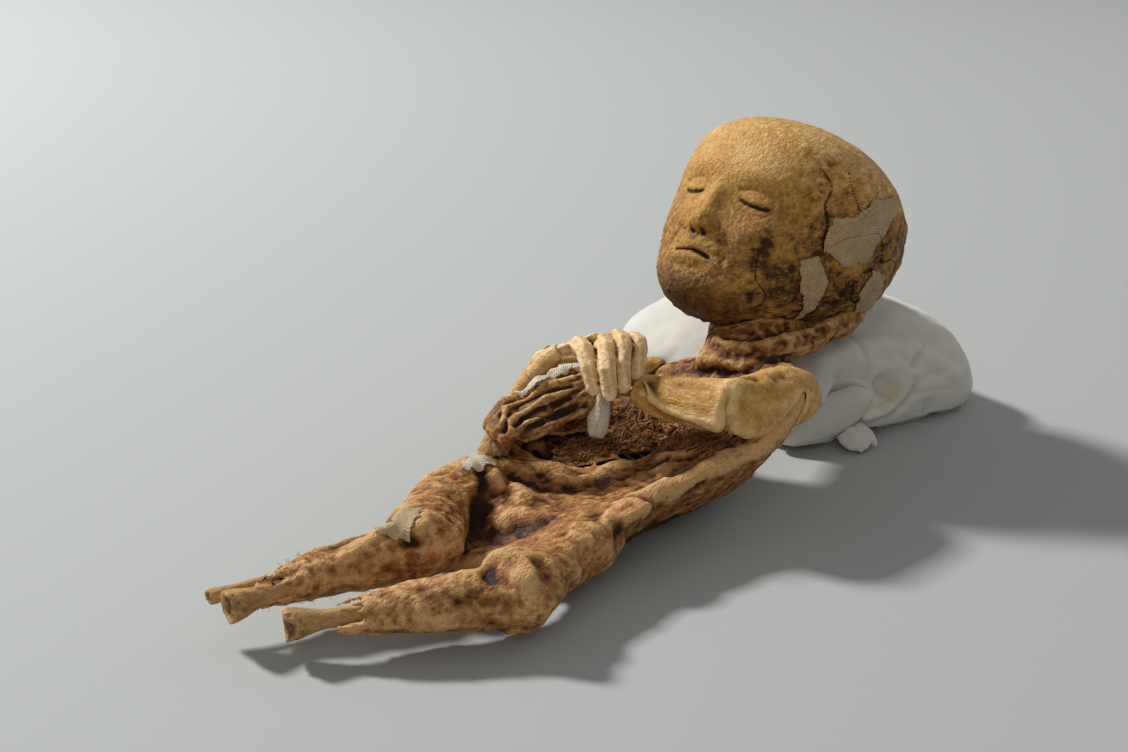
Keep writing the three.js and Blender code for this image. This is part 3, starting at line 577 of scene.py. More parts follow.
def cotton_finish(name, colour, shade):
    """Washed white cotton with a faint weave, with painted shade in its creases."""
    f = Finish(name, roughness=0.93, sheen=0.3, specular=0.2)
    folds = f.grain(24, 4)
    stain = f.grain(9, 4)
    bands = {"Vector": f.place, "Scale": 330.0, "Distortion": 1.5, "Detail": 2.0}
    threads = f.node("ShaderNodeTexWave", {"bands_direction": "X"}, bands, "Fac")
    wefts = f.node("ShaderNodeTexWave", {"bands_direction": "Y"}, bands, "Fac")
    relief, burnt = f.read("relief"), f.read("burnt")
    # The relief greys the creases: painted shade.
    tint = f.mix(((folds - 0.5) * 0.9 - relief * 0.55 + 0.25).clipped(), colour, shade)
    tint = f.mix((burnt * (0.6 + stain * 0.6)).clipped(), tint, rgba("#cdb781"))
    return f.give(colour=tint, normal=f.bump((threads + wefts) * 0.15 + folds * 2 + stain, 0.4, 0.35))


def dress(obj, material, node_names, body_name=BODY):
    """Gives a finished piece its finish and its body, and hides the nodes that it stands for."""
    obj.data.materials.clear()
    obj.data.materials.append(material)
    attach(obj, body_name)
    if node_names:
        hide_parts(*node_names)
    return obj


# Sizes and colours that a user would change

class MummySettings(bpy.types.PropertyGroup):
    """Sizes and colours of the mummy's surfaces."""

    head_relief: bpy.props.FloatProperty(
        name="Head relief", description="Depth of the wrinkles and pits of the head, in millimetres",
        default=0.9, min=0, max=3)
    body_relief: bpy.props.FloatProperty(
        name="Body relief", description="Depth of the folds and fibres of the body's skin, in millimetres",
        default=1.3, min=0, max=4)
    skin_gold: bpy.props.FloatVectorProperty(
        name="Golden skin", description="Colour of the skin over the crown",
        default=rgba("#bc893f"), size=4, subtype="COLOR")
    skin_brown: bpy.props.FloatVectorProperty(
        name="Brown skin", description="Colour of the skin of the trunk",
        default=rgba("#9c6733"), size=4, subtype="COLOR")
    # The dark colour also gives the painted shade in the skin's hollows, and the pale one the painted
    # highlight on its ridges.
    skin_deep: bpy.props.FloatVectorProperty(
        name="Dark skin", description="Colour of the skin in its hollows",
        default=rgba("#4a2a12"), size=4, subtype="COLOR")
    skin_pale: bpy.props.FloatVectorProperty(
        name="Pale skin", description="Colour of the skin on its ridges",
        default=rgba("#cfa26a"), size=4, subtype="COLOR")
    cotton: bpy.props.FloatVectorProperty(
        name="Cotton", description="Colour of the pillow's cover",
        default=rgba("#d0ccc2"), size=4, subtype="COLOR")


def settings():
    return bpy.context.scene.mummy


# Head

HEAD_CENTRE = np.array((-14.0, 194.0, 122.0))
HEAD_TILT = math.radians(38)
HEAD_UP = np.array((0, math.sin(HEAD_TILT), math.cos(HEAD_TILT)))
HEAD_FORWARD = np.array((0, -math.cos(HEAD_TILT), math.sin(HEAD_TILT)))
# The head's height, half width, and reach to the front and back, all in millimetres
HEAD_SECTIONS = np.array([
    (-70, 15, 45, 22),
    (-66, 23, 53, 12),
    (-56, 35, 58, -2),
    (-44, 45, 60, -26),
    (-32, 52, 61, -52),
    (-18, 57, 62, -70),
    (-4, 60, 63, -77),
    (14, 61, 64, -78),
    (32, 57, 59, -72),
    (45, 48, 46, -60),
    (53, 36, 30, -45),
    (58, 20, 11, -25),
], float)
CROWN_RISE = 3.0
EYE_SPACING = 42.0
EYE_LEVEL = -7.0
MOUTH_LEVEL = -43.0
EAR_LEVEL = -24.0
EAR_PLACE = -5.0
HEAD_SIDES = 320
HEAD_RINGS = 215
# How far the rings that close the head have drawn together, at its base and its crown
BASE_RINGS = (0.25, 0.5, 0.75)
CROWN_RINGS = (0.12, 0.24, 0.36, 0.48, 0.6, 0.72, 0.84, 0.94)


def section_at(rows, place):
    """The section at a place between the listed ones, along a smooth curve."""
    i = int(np.clip(np.searchsorted(rows[:, 0], place, side="right") - 1, 0, len(rows) - 2))
    t = np.clip((place - rows[i, 0]) / (rows[i + 1, 0] - rows[i, 0]), 0, 1)
    a, b, c, d = (rows[int(np.clip(n, 0, len(rows) - 1))] for n in (i - 1, i, i + 1, i + 2))
    slope, after = (c - a) / 2, (d - b) / 2
    return (((2 * (b - c) + slope + after) * t + 3 * (c - b) - 2 * slope - after) * t + slope) * t + b


def hill(x, y, width, height):
    return np.exp(-((x / width) ** 2) - (y / height) ** 2)


def lash_line(left, height):
    """How far a place lies above the line where the lids meet."""
    return height - EYE_LEVEL + 2.6 - 0.022 * (np.abs(left) - EYE_SPACING / 2) ** 2


def mouth_line(left, height):
    """How far a place lies above the line where the lips meet."""
    return height - MOUTH_LEVEL + 0.012 * left**2 - 0.5 * hill(left, 0, 2.6, 1)


def face_relief(left, height):
    """How far the calm, plain face stands out from an oval."""
    side = np.abs(left)
    eye = side - EYE_SPACING / 2
    lid = height - EYE_LEVEL
    mouth = height - MOUTH_LEVEL
    out = 8 * hill(left, height + 27, 7.5, 6) + 4 * hill(left, height + 14, 5, 10)
    out += -6 * hill(eye, lid, 13, 9) + 3.4 * hill(eye, lid, 8, 5.5)
    out += 1.2 * hill(eye, lid - 13, 13, 5)
    out += 2.4 * hill(left, mouth + 4, 12, 3) + 2.2 * hill(left, mouth - 4, 12, 3)
    out += 2 * hill(side - 27, height + 26, 9, 9) + 3 * hill(left, height + 62, 10, 7)
    return out + face_details(left, side, eye, lid, mouth, height)


def face_details(left, side, eye, lid, mouth, height):
    """Lids, nostrils, lips and their creases."""
    lash = lash_line(left, height)
    out = -1.5 * bell(lash, 0.8) * smooth_step(9.5 - np.abs(eye), 0, 3)
    out += 0.7 * bell(lash - 2.4, 1.6) * smooth_step(9.5 - np.abs(eye), 0, 4)
    fold = lid - 6.4 + 0.03 * eye**2
    out += -1.0 * bell(fold, 1.1) * smooth_step(12 - np.abs(eye), 0, 4)
    pouch = lid + 8.2 - 0.03 * eye**2
    out += -0.7 * bell(pouch, 1.5) * smooth_step(11 - np.abs(eye), 0, 5)
    out += 2.1 * hill(side - 6.4, height + 29.5, 2.6, 3.4)
    out += -2.4 * hill(side - 3.4, height + 32.6, 1.9, 1.5)
    out += -1.0 * hill(side - 9.6, height + 29, 1.4, 4.2)
    out += -2.6 * bell(mouth_line(left, height), 0.75) * smooth_step(13 - side, 0, 3)
    out += -0.9 * hill(left, mouth - 8.5, 1.9, 3.4)
    out += -1.3 * hill(left, mouth + 9.2, 8, 1.9)
    from_cheek = side - 15.5 - 0.28 * (MOUTH_LEVEL + 12 - height)
    out += -1.2 * bell(from_cheek, 1.9) * hill(0, height + 38, 1, 10)
    out += -1.8 * hill(side - 33, height + 42, 9, 11)
    return out


def head_place(left, forward, height):
    """Places in the head's own frame as points of the body's frame."""
    place = HEAD_CENTRE + np.multiply.outer(forward, HEAD_FORWARD) + np.multiply.outer(height, HEAD_UP)
    return place + np.multiply.outer(left, np.array((1.0, 0, 0)))


def head_ring(level, angles, shrink=1.0, lift=0.0):
    """A ring of points round the head at a level, with the face in front."""
    _, half, front, back = section_at(HEAD_SECTIONS, level)
    middle, reach = (front + back) / 2, (front - back) / 2
    sine, cosine = np.sin(angles), np.cos(angles)
    left = half * np.sign(sine) * np.abs(sine) ** 0.9 * shrink
    face = face_relief(left, np.full_like(left, level)) * np.minimum(1, 2.5 * cosine)
    ahead = np.where(cosine > 0, face, 0)
    return head_place(left, middle + (reach * cosine + ahead) * shrink, np.full_like(left, level + lift))


def head_angles(count):
    """Angles round the head, closer together over the face than at the back."""
    t = 2 * np.pi * np.arange(count) / count
    return t - 0.4 * np.sin(t)


def head_parts(points):
    """Each point's place in the head's own frame: left, forward, height."""
    p = body(points) - HEAD_CENTRE
    return p[:, 0], p @ HEAD_FORWARD, p @ HEAD_UP


def ear_relief(left, forward, height):
    """A small flattened ear with a rim round a hollow, on either side of the head."""
    f = forward - EAR_PLACE - 0.25 * (height - EAR_LEVEL)
    h = height - EAR_LEVEL
    reach = np.sqrt((f / 6.6) ** 2 + ((h - 0.5) / 11.5) ** 2)
    rim = 3.6 * bell(reach - 0.85, 0.17) * smooth_step(h + 0.8 * f, -16, -4)
    inner = 1.6 * bell(reach - 0.45, 0.15) * (f < 1)
    hole = -4.5 * hill(f - 1.2, h + 2.2, 2.6, 3.4)
    lobe = 2.2 * hill(f + 0.5, h + 10.5, 3.4, 2.8)
    return np.where(np.abs(left) > 30, rim + inner + hole + lobe, 0)


def make_head(relief):
    """The head's dried skin: smooth over the face and crown, wrinkled and cracked round the sides."""
    angles = head_angles(HEAD_SIDES)
    levels = np.linspace(HEAD_SECTIONS[0, 0], HEAD_SECTIONS[-1, 0], HEAD_RINGS)
    rings = [head_ring(levels[0], angles, share) for share in BASE_RINGS]
    rings += [head_ring(level, angles) for level in levels]
    rings += [head_ring(levels[-1], angles, 1 - t, CROWN_RISE * (1 - (1 - t) ** 2)) for t in CROWN_RINGS]
    head = closed_loft("head", row(np.array(rings)))
    left, forward, height = head_parts(points_of(head))
    p = points_of(head) / MM
    face = smooth_step(forward, 20, 45) * smooth_step(36 - np.abs(left), 0, 14)
    face *= smooth_step(26 - height, 0, 14)
    low = smooth_step(-height, 8, 40)
    sides = smooth_step(np.abs(left), 30, 50) + smooth_step(-forward, 20, 50)
    sides = np.clip(sides, 0, 1) * smooth_step(48 - height, 0, 22)
    lumps = 0.7 * layered(p, 22, 3, 1)
    wrinkles = ridged(stretched(p, (0, 1, 0.4), 2.5), 9, 11) - 0.35
    pits = layered(p, 3.2, 3, 21)
    cracks = ridged(p, 17, 31, 1)
    amount = relief * (1 - 0.6 * face)
    rough = sides * (1.4 * wrinkles + 0.7 * pits) + low * (1.2 * pits + 0.8 * wrinkles) + 0.3 * pits
    out = lumps + amount * rough
    out -= 1.2 * amount * np.clip(sides + 0.5 * low, 0, 1) * smooth_step(cracks, 0.9, 1.0)
    out += ear_relief(left, forward, height)
    push(head, out)
    # This relief becomes painted shade in the wrinkles, cracks, ear hole, lids, nostrils and mouth, and a
    # painted highlight on the ridges.
    crease = amount * (1.2 * wrinkles + pits) * np.clip(sides + low + 0.15, 0, 1)
    crease -= 1.5 * smooth_step(cracks, 0.88, 1.0) * np.clip(sides + 0.6 * low, 0, 1) * (1 - face)
    crease -= 2 * hill(forward - EAR_PLACE - 1.2, height - EAR_LEVEL + 2.2, 3.2, 4) * (np.abs(left) > 30)
    eye = np.abs(np.abs(left) - EYE_SPACING / 2)
    front = forward > 20
    crease -= 1.6 * bell(lash_line(left, height), 1) * smooth_step(9.5 - eye, 0, 3) * front
    crease -= 1.5 * hill(np.abs(left) - 3.4, height + 32.6, 2.0, 1.6) * front
    crease -= 1.6 * bell(mouth_line(left, height), 0.9) * smooth_step(13 - np.abs(left), 0, 3) * front
    crown = smooth_step(height + 0.3 * forward, 5, 45)
    specks = smooth_step(layered(p, 2.6, 2, 61), 0.25, 0.5) * crown
    specks *= smooth_step(layered(p, 16, 2, 62), -0.1, 0.3)
    # The crown is painted paler and the lower head and sides darker, partly the skin's own colour and partly
    # painted light and shade.
    light = 0.36 + 0.3 * crown + 0.05 * face - 0.13 * low - 0.14 * sides
    light += 0.18 * layered(p, 18, 3, 41)
    light += 0.3 * specks
    # The lower head gets dark mottling, and its underside painted shade.
    burnt = 0.3 * low * smooth_step(layered(p, 12, 2, 51), -0.1, 0.5) * (1 - 0.6 * face)
    burnt += 0.8 * smooth_step(-height, 52, 66)
    tinted(head, crease, burnt, light=light)
    return head


class MUMMY_OT_head(bpy.types.Operator):
    """Makes the head's dried skin, with the skull and jaw hidden inside it."""

    bl_idname = "mummy.head"
    bl_label = "Head"

    def execute(self, context):
        s = settings()
        head = make_head(s.head_relief)
        finish = skin_finish("skin_head", s.skin_deep, s.skin_gold, rgba("#e3c184"), 0.6, mottle=0.9)
        dress(head, finish, ["head_skin"])
        return {"FINISHED"}


# Loose fibres, grown by one tree of geometry nodes wherever a piece is marked as frayed

class Tree:
    """A tree of geometry nodes with named inputs."""

    def __init__(self, name, **inputs):
        self.tree = bpy.data.node_groups.new(name, "GeometryNodeTree")
        self.tree.interface.new_socket("Surface", in_out="INPUT", socket_type="NodeSocketGeometry")
        for key, kind in inputs.items():
            self.tree.interface.new_socket(key, in_out="INPUT", socket_type=kind)
        self.tree.interface.new_socket("Result", in_out="OUTPUT", socket_type="NodeSocketGeometry")
        self.source = self.tree.nodes.new("NodeGroupInput")
        self.result = self.tree.nodes.new("NodeGroupOutput")

    def input(self, name):
        return self.source.outputs[name]

    def add(self, kind, values, output=0, **settings):
        """Adds a node with its settings and its sockets' values or links, and gives one of its outputs."""
        node = self.tree.nodes.new(kind)
        for key, value in settings.items():
            setattr(node, key, value)
        for key, value in values.items():
            if isinstance(value, bpy.types.NodeSocket):
                self.tree.links.new(value, node.inputs[key])
            else:
                node.inputs[key].default_value = value
        return node.outputs[output]


def fibre_tree():
    """Bent, tapering fibres scattered over a surface, thickest where it is marked as frayed."""
    t = Tree("fibres", Density="NodeSocketFloat", Length="NodeSocketFloat", Thickness="NodeSocketFloat",
             Lean="NodeSocketFloat", Seed="NodeSocketInt", Material="NodeSocketMaterial")
    frayed = t.add("GeometryNodeInputNamedAttribute", {"Name": "frayed"}, data_type="FLOAT")
    amount = t.add("ShaderNodeMath", {0: frayed, 1: t.input("Density")}, operation="MULTIPLY")
    spread = {"Mesh": t.input("Surface"), "Density": amount, "Seed": t.input("Seed")}
    points = t.add("GeometryNodeDistributePointsOnFaces", spread, distribute_method="RANDOM")
    upright = points.node.outputs["Rotation"]
    bend = {"Start": (0, 0, -0.1), "Middle": (0.25, 0, 0.5), "End": (1.0, 0.15, 0.2), "Resolution": 5}
    curve = t.add("GeometryNodeCurveQuadraticBezier", bend)
    place = t.add("GeometryNodeSplineParameter", {})
    taper = t.add("ShaderNodeMath", {0: place, 1: -0.7, 2: 1.0}, operation="MULTIPLY_ADD")
    curve = t.add("GeometryNodeSetCurveRadius", {"Curve": curve, "Radius": taper})
    section = t.add("GeometryNodeCurvePrimitiveCircle", {"Resolution": 3, "Radius": t.input("Thickness")})
    fibre = t.add("GeometryNodeCurveToMesh", {"Curve": curve, "Profile Curve": section, "Fill Caps": True})
    lean = t.add("ShaderNodeCombineXYZ", {"X": t.input("Lean"), "Y": t.input("Lean"), "Z": math.pi})
    low = t.add("ShaderNodeVectorMath", {0: lean, 1: (-1, -1, -1)}, operation="MULTIPLY")
    leans = {"Min": low, "Max": lean, "Seed": t.input("Seed")}
    turn = t.add("FunctionNodeRandomValue", leans, data_type="FLOAT_VECTOR")
    turning = {"Rotation": upright, "Rotate By": turn}
    turned = t.add("FunctionNodeRotateRotation", turning, rotation_space="LOCAL")
    least = t.add("ShaderNodeMath", {0: t.input("Length"), 1: 0.35}, operation="MULTIPLY")
    length = {2: least, 3: t.input("Length"), "Seed": t.input("Seed")}
    size = t.add("FunctionNodeRandomValue", length, output=1, data_type="FLOAT")
    placed = {"Points": points, "Instance": fibre, "Rotation": turned, "Scale": size}
    fibres = t.add("GeometryNodeInstanceOnPoints", placed)
    whole = t.add("GeometryNodeRealizeInstances", {"Geometry": fibres})
    done = t.add("GeometryNodeSetMaterial", {"Geometry": whole, "Material": t.input("Material")})
    t.tree.links.new(done, t.result.inputs["Result"])
    return t.tree


def fibres_on(obj, name, frayed, material, density, length, thickness, lean, seed, light=0.0):
    """Loose fibres on an object, with lengths in millimetres and their number per square centimetre."""
    paint(obj, frayed=frayed)
    tree = bpy.data.node_groups.get("fibres") or fibre_tree()
    carrier = bpy.data.objects.new(name, obj.data.copy())
    bpy.context.scene.collection.objects.link(carrier)
    modifier = carrier.modifiers.new("Fibres", "NODES")
    modifier.node_group = tree
    values = {"Density": density * 1e4, "Length": length * MM, "Thickness": thickness / length, "Lean": lean,
              "Seed": seed, "Material": material}
    for item in tree.interface.items_tree:
        if item.in_out == "INPUT" and item.name in values:
            modifier[item.identifier] = values[item.name]
    fibres = baked(carrier, name)
    plain = np.zeros(len(fibres.data.vertices))
    tinted(fibres, plain, plain, light=plain + light)
    return fibres


# Body

FLANK_RIM = [
    (61, 60, 46), (60, 43, 45), (57, 24, 44), (55, 7, 44), (55, -8, 44), (58, -21, 43), (64, -37, 42),
    (71, -55, 40), (74, -72, 40),
]
# A path on the skin, its width and height in millimetres, and how much paler and darker it is; the paler and
# darker amounts are partly the skin's own tone and partly painted highlight on ridges and painted shade in
# hollows
BODY_MARKS = [
    (FLANK_RIM, 5.5, 2.6, 0.14),
    ([(-2, 7, 29), (4, 12, 29), (7, 20, 28), (7, 32, 30), (10, 40, 31)], 5, 2.6, 0.16),
    ([(26, 53, 36), (38, 59, 40)], 4.5, 2.2, 0.16),
    ([(24, 20, 30), (30, 34, 31), (38, 46, 36)], 5, 1.6, 0.1),
    ([(-22, -6, 32), (-12, 14, 32)], 8, 3.4, 0.2),
    ([(-12, -26, 31), (-8, -20, 31)], 6, 3.2, 0.1),
    ([(0, -19, 30), (2, -26, 29)], 6, 2.8, 0.1),
    ([(8, -40, 27), (12, -34, 28)], 6, 3.0, 0.08),
    ([(74, -95, 36), (78, -93, 35)], 5.0, 3.2, 0.12),
    ([(62, -84, 39), (70, -82, 38)], 6, 1.5, 0.1),
    ([(12, -99, 41), (8, -92, 43)], 5.5, 2.4, 0.1),
    ([(-7, -99, 43), (-12, -92, 43)], 6, 1.8, 0.1),
    ([(-1, -103, 43), (0, -121, 39), (-1, -136, 34)], 3.0, 1.6, 0.3),
    ([(-8, -100, 42), (-9, -116, 38), (-12, -134, 33)], 4.5, -2.6, -0.16, 0.1),
    ([(14, -99, 43), (13, -104, 38)], 3.2, -1.8, -0.15, 0.15),
    ([(-34, -60, 30), (-30, -40, 38), (-33, -10, 40), (-36, 2, 41)], 6, 2.0, 0.12),
    ([(53, 1, 36), (60, 4, 38), (66, 8, 37)], 2.6, -1.5, -0.1, 0.06),
    ([(64, -20, 35), (65, -19, 34)], 3.2, -1.8, -0.1, 0.15),
    ([(66, 20, 34), (60, 8, 32), (56, 0, 30)], 4, -1.6, -0.08, 0.05),
    ([(64, 44, 36), (58, 30, 38)], 3, -1.2, -0.06, 0.05),
    # The next three marks darken the pocket beside the near thigh, the valley between the legs and the one
    # beside the far thigh with painted shade.
    ([(26, -35, 29), (22, -42, 26)], 6.5, -2.8, -0.08, 0.04),
    ([(14, -50, 20), (0, -50, 20), (-8, -50, 14)], 7, -2.5, -0.25, 0.3),
    ([(-18, -32, 41), (-11, -36, 36), (-6, -45, 31), (-6, -52, 20)], 3.5, -3.2, -0.3, 0.45),
    ([(59, -101, 37), (64, -104, 36)], 4.5, -2.6, -0.08, 0.04),
    ([(60, -90, 43), (56, -97, 41), (52, -108, 37)], 4, 2.2, 0.16),
    ([(46, -128, 28), (60, -118, 26), (70, -109, 27)], 5, -1.6, -0.1, 0.05),
    ([(74, -81, 36), (80, -84, 33)], 4.5, -2.2, -0.1, 0.1),
    ([(2, -104, 41), (9, -106, 38)], 4, -2.4, -0.12, 0.12),
    ([(-14, -14, 34), (-6, -10, 30), (0, -8, 29)], 5, -1.8, -0.1, 0.1),
]
SHRED_ZONE = np.array([
    (-27, 20), (-33, 40), (-33, 56), (-26, 70), (0, 80), (24, 86), (42, 90), (46, 74), (30, 66), (12, 56),
    (0, 42), (-10, 26),
], float)
TISSUE_ZONE = np.array([
    (-27, 20), (-33, 40), (-33, 56), (-26, 70), (0, 80), (24, 86), (42, 90), (60, 88), (67, 74), (58, 60),
    (44, 62), (30, 62), (12, 54), (0, 40), (-10, 24),
], float)
# The way that the shreds run, as an angle from +X, and their numbers
SHRED_WAY = 0.98
SHRED_STRANDS = 150
TISSUE_STRIPS = 1500
# In millimetres: the height that a loose strip is dropped from, and how far it may fall
TISSUE_TOP = 62
TISSUE_DROP = 36
CAVITY = [(-40, 10, 40), (-41, 28, 40), (-38, 46, 42), (-34, 62, 44), (-22, 74, 46)]
# For each leg: its knee, its ankle and the number of splinters at its torn end
ANKLES = {"left": ((66, -90, 24), (8, -177, 18), 13), "right": ((2, -92, 28), (-24, -190, 22), 22)}
FAR_RIM = [
    (-31, -14, 41), (-37, -4, 45), (-41, 8, 48), (-42, 20, 50), (-42, 34, 50), (-38, 48, 49), (-30, 62, 49),
]
# A strand that stands up the wall of the far rim, and the number that lie along its top
RIM_STANDARD = [(-37, 0, 18), (-40, 2, 30), (-41, 4, 42), (-40, 5, 50)]
RIM_STRANDS = 22
NAPE_FOLD = [
    (6, 119, 74), (18, 118, 74), (25, 122, 74), (31, 131, 74), (35, 145, 75), (37, 163, 75), (36, 184, 75),
    (33, 205, 75), (28, 220, 77),
]


def inside(x, y, outline):
    """Whether places lie inside an outline, seen from above."""
    odd = False
    for (x1, y1), (x2, y2) in zip(outline, np.roll(outline, -1, 0)):
        odd = odd ^ ((y1 > y) != (y2 > y)) & (x < (x2 - x1) * (y - y1) / (y2 - y1 + 1e-9) + x1)
    return odd


def shred_level(x, y):
    """The height of the shredded tissue over a place."""
    return 30.5 + 0.16 * (y - 25) + 0.02 * (x + 20) + 1.6 * smooth_step(y, 70, 90)


def bent_path(x, y, way, along, across):
    """Places along a bent line on the ground, from how far they lie along it and across it."""
    px = x + along * math.cos(way) - across * math.sin(way)
    py = y + along * math.sin(way) + across * math.cos(way)
    return px, py


def shredded_tissue():
    """Ragged strips of dried tissue that lie over the near rim of the hole."""
    rng = np.random.default_rng(11)
    low, high = SHRED_ZONE.min(0), SHRED_ZONE.max(0)
    strips = []
    share = np.linspace(-0.5, 0.5, 5)
    while len(strips) < SHRED_STRANDS:
        x, y = rng.uniform(low, high)
        way = SHRED_WAY + rng.normal(0, 0.45)
        length, bend = rng.uniform(9, 22), rng.normal(0, 2)
        lift, girth = rng.uniform(-3.2, -0.2), rng.uniform(0.9, 1.6)
        if not inside(x, y, SHRED_ZONE):
            continue
        px, py = bent_path(x, y, way, share * length, bend * (1 - 4 * share**2))
        pz = shred_level(px, py) + lift + 0.7 * rng.normal(0, 1, 5)
        strips.append(strand(np.stack([px, py, pz], 1), girth * np.array([0.45, 0.9, 1, 0.9, 0.45])))
    return strips


def tissue_strips(skin):
    """Loose ragged strips that lie on the shredded tissue, each with its own tone."""
    rng = np.random.default_rng(21)
    ground = surface(points_of(skin), triangles_of(skin))
    strips, tones = [], []
    share = np.linspace(-0.5, 0.5, 6)
    while len(strips) < TISSUE_STRIPS:
        x, y = rng.uniform(TISSUE_ZONE.min(0), TISSUE_ZONE.max(0))
        way, length, bend = SHRED_WAY + rng.normal(0, 0.7), rng.uniform(3.5, 12), rng.normal(0, 1.5)
        curl, girth = rng.uniform(0, 2.6) * rng.choice((0, 1, 1)), rng.uniform(0.28, 0.75)
        if not inside(x, y, TISSUE_ZONE):
            continue
        across = bend * (1 - 4 * share**2) + rng.normal(0, 0.3, 6)
        px, py = bent_path(x, y, way, share * length, across)
        above = row(np.stack([px, py, np.full(6, TISSUE_TOP)], 1))
        hits = [ground.ray_cast(Vector(start), Vector((0, 0, -1)), TISSUE_DROP * MM)[0] for start in above]
        if any(hit is None for hit in hits):
            continue
        path = body(np.array(hits))
        if np.ptp(path[:, 2]) > 5:
            continue
        path[:, 2] += 0.2 + curl * (share + 0.5) ** 2 + rng.normal(0, 0.2, 6)
        strips.append(strand(path, girth * np.array([0.4, 0.9, 1, 1, 0.8, 0.3]), 4))
        tones.append(rng.uniform(0.08, 0.62))
    points, faces = gathered(strips)
    loose = new_object("tissue_strips", points, faces, smooth=False)
    each = np.repeat(tones, [len(piece[0]) for piece in strips])
    tinted(loose, np.zeros(len(each)), 0.35 - each, light=each)
    return loose


def torn_sleeves():
    """Splinters of skin that run from the torn sleeves of the shins along the bones."""
    rng = np.random.default_rng(5)
    strips = []
    for knee, ankle, count in ANKLES.values():
        knee, ankle = np.array(knee, float), np.array(ankle, float)
        along = (ankle - knee) / np.linalg.norm(ankle - knee)
        side = np.cross(along, (0, 0, 1))
        side /= np.linalg.norm(side)
        rise = np.cross(side, along)
        for n in range(count):
            turn = 2 * math.pi * n / count + rng.normal(0, 0.15)
            out = math.cos(turn) * side + math.sin(turn) * rise
            reach = rng.uniform(0.7, 0.74 + 0.008 * count)
            share = np.linspace(0.58, reach, 5)
            radius = np.interp(share, [0.58, 0.66, 0.76, 0.9], [9.5, 8.6, 6.6, 5.4])
            path = knee + np.multiply.outer(share, ankle - knee) + radius[:, None] * out
            path += rng.normal(0, 0.5, (5, 3))
            strips.append(strand(path, rng.uniform(0.8, 1.5) * np.array([1.3, 1.2, 1, 0.8, 0.5])))
    return strips


def nape_fold():
    """The thick fold of skin that stands round the nape."""
    girth = np.interp(np.arange(len(NAPE_FOLD)), [0, 4, len(NAPE_FOLD) - 1], [2.6, 3.2, 2.2])
    lifts = (-5.4, -2.8, 0, 2.8, 5)
    return [strand(np.array(NAPE_FOLD, float) + (-0.5 * abs(lift), 0, lift), girth) for lift in lifts]


def far_rim():
    """Tissue that stands along the far rim of the hole, under the hand; the body's skin paints it dark as
    shade.
    """
    rng = np.random.default_rng(17)
    path = np.array(FAR_RIM, float)
    feet = [np.array((0.0, y, 0)) for y in range(-6, 36, 3)]
    wall = [np.array(RIM_STANDARD) + foot for foot in feet]
    standing = [strand(shape + rng.normal(0, 1.2, (4, 3)), rng.uniform(2.2, 3.4)) for shape in wall]
    lying = [strand(path + rng.normal(0, 2.2, path.shape), rng.uniform(1.6, 3.4)) for _ in range(RIM_STRANDS)]
    return lying + standing


def make_body(relief):
    """The dried skin of trunk, neck and legs, the nodes that it stands for and where it is frayed."""
    sides = [f"{part}_skin_{side}" for part in ("thigh", "shin") for side in ("left", "right")]
    names = ["trunk_skin", "neck_skin", *sides]
    extra = [*shredded_tissue(), *torn_sleeves(), *nape_fold(), *far_rim()]
    skin = moulded(names, "body_skin", 1.2, 16, 0.35, extra)
    p = body(points_of(skin))
    x, y, z = p.T
    legs = smooth_step(-y, 45, 75)
    neck = smooth_step(y, 104, 116) * smooth_step(z, 54, 62)
    above = smooth_step(z - shred_level(x, y), -5, -2)
    shred = inside(x + 2 * noise(p, 6, 3), y + 2 * noise(p, 6, 4), SHRED_ZONE) * above
    paths = ((CAVITY, 9), (FAR_RIM, 7))
    cavity = np.maximum(*(along_path(flattened(p), flattened(path), width) for path, width in paths))
    within = (y > 0) & (y < 100) & (x > -38) & (x < 48)
    inner = smooth_step(shred_level(x, y) - z, 3, 7) * smooth_step(z, 2, 6) * within
    torn = smooth_step(-y, 138, 152)
    high, pale, dark = marked(p, BODY_MARKS)
    fibres = layered(stretched(p, (0.1, 1, 0), 3), 5, 3, 5)
    leather = layered(p, 8, 3, 55)
    creased = ridged(p, 10, 65) - 0.35
    cords = ridged(stretched(p, (0, 0.5, 1), 3), 6, 75) - 0.35
    folds = ridged(stretched(p, (0.15, 1, 0), 2.5), 13, 15) - 0.35
    lumps = layered(p, 18, 3, 25)
    crumbs = layered(p, 4, 2, 35)
    pits = np.minimum(layered(p, 5, 3, 45), 0)
    rough = np.clip(shred + cavity + 0.8 * torn, 0, 1)
    uneven = 0.7 * folds + 0.3 * fibres + 1.1 * lumps + 0.65 * leather + 0.5 * creased + 0.4 * crumbs
    out = high + relief * uneven
    out += rough * (0.5 * fibres + 0.5 * crumbs) + neck * (0.5 * pits + 0.35 * crumbs + 0.45 * cords)
    push(skin, out)
    settled(skin)
    ridge = stand_out(skin, 10, 0.35)
    broad = stand_out(skin, 60, 1.6)
    # Painted light: broad hollows darker and bulges paler, the marks' paler places partly painted highlight,
    # and the lower wall darker as painted shade. The relief from ridges and broad hollows also becomes
    # painted shade and highlight in the finish.
    light = 0.42 + 0.02 * legs + 0.08 * folds + 0.03 * lumps + pale + 0.24 * broad - 0.2 * shred - 0.16 * neck
    light -= 0.12 * smooth_step(20 - z, 0, 14)
    # Dark places: the marks' dark amounts, and painted shade in the cavity under the hand, deep inside the
    # hole, between the shreds and in the neck's pits.
    burnt = dark + 0.55 * cavity + inner + 0.22 * shred * (1 - ridge)
    burnt += 0.3 * neck * smooth_step(-pits, 0.1, 0.4)
    tinted(skin, 0.75 * ridge + 0.4 * broad, burnt, light=light)
    return skin, names, np.clip(shred * (ridge > -0.2) + 0.5 * torn, 0, 1)


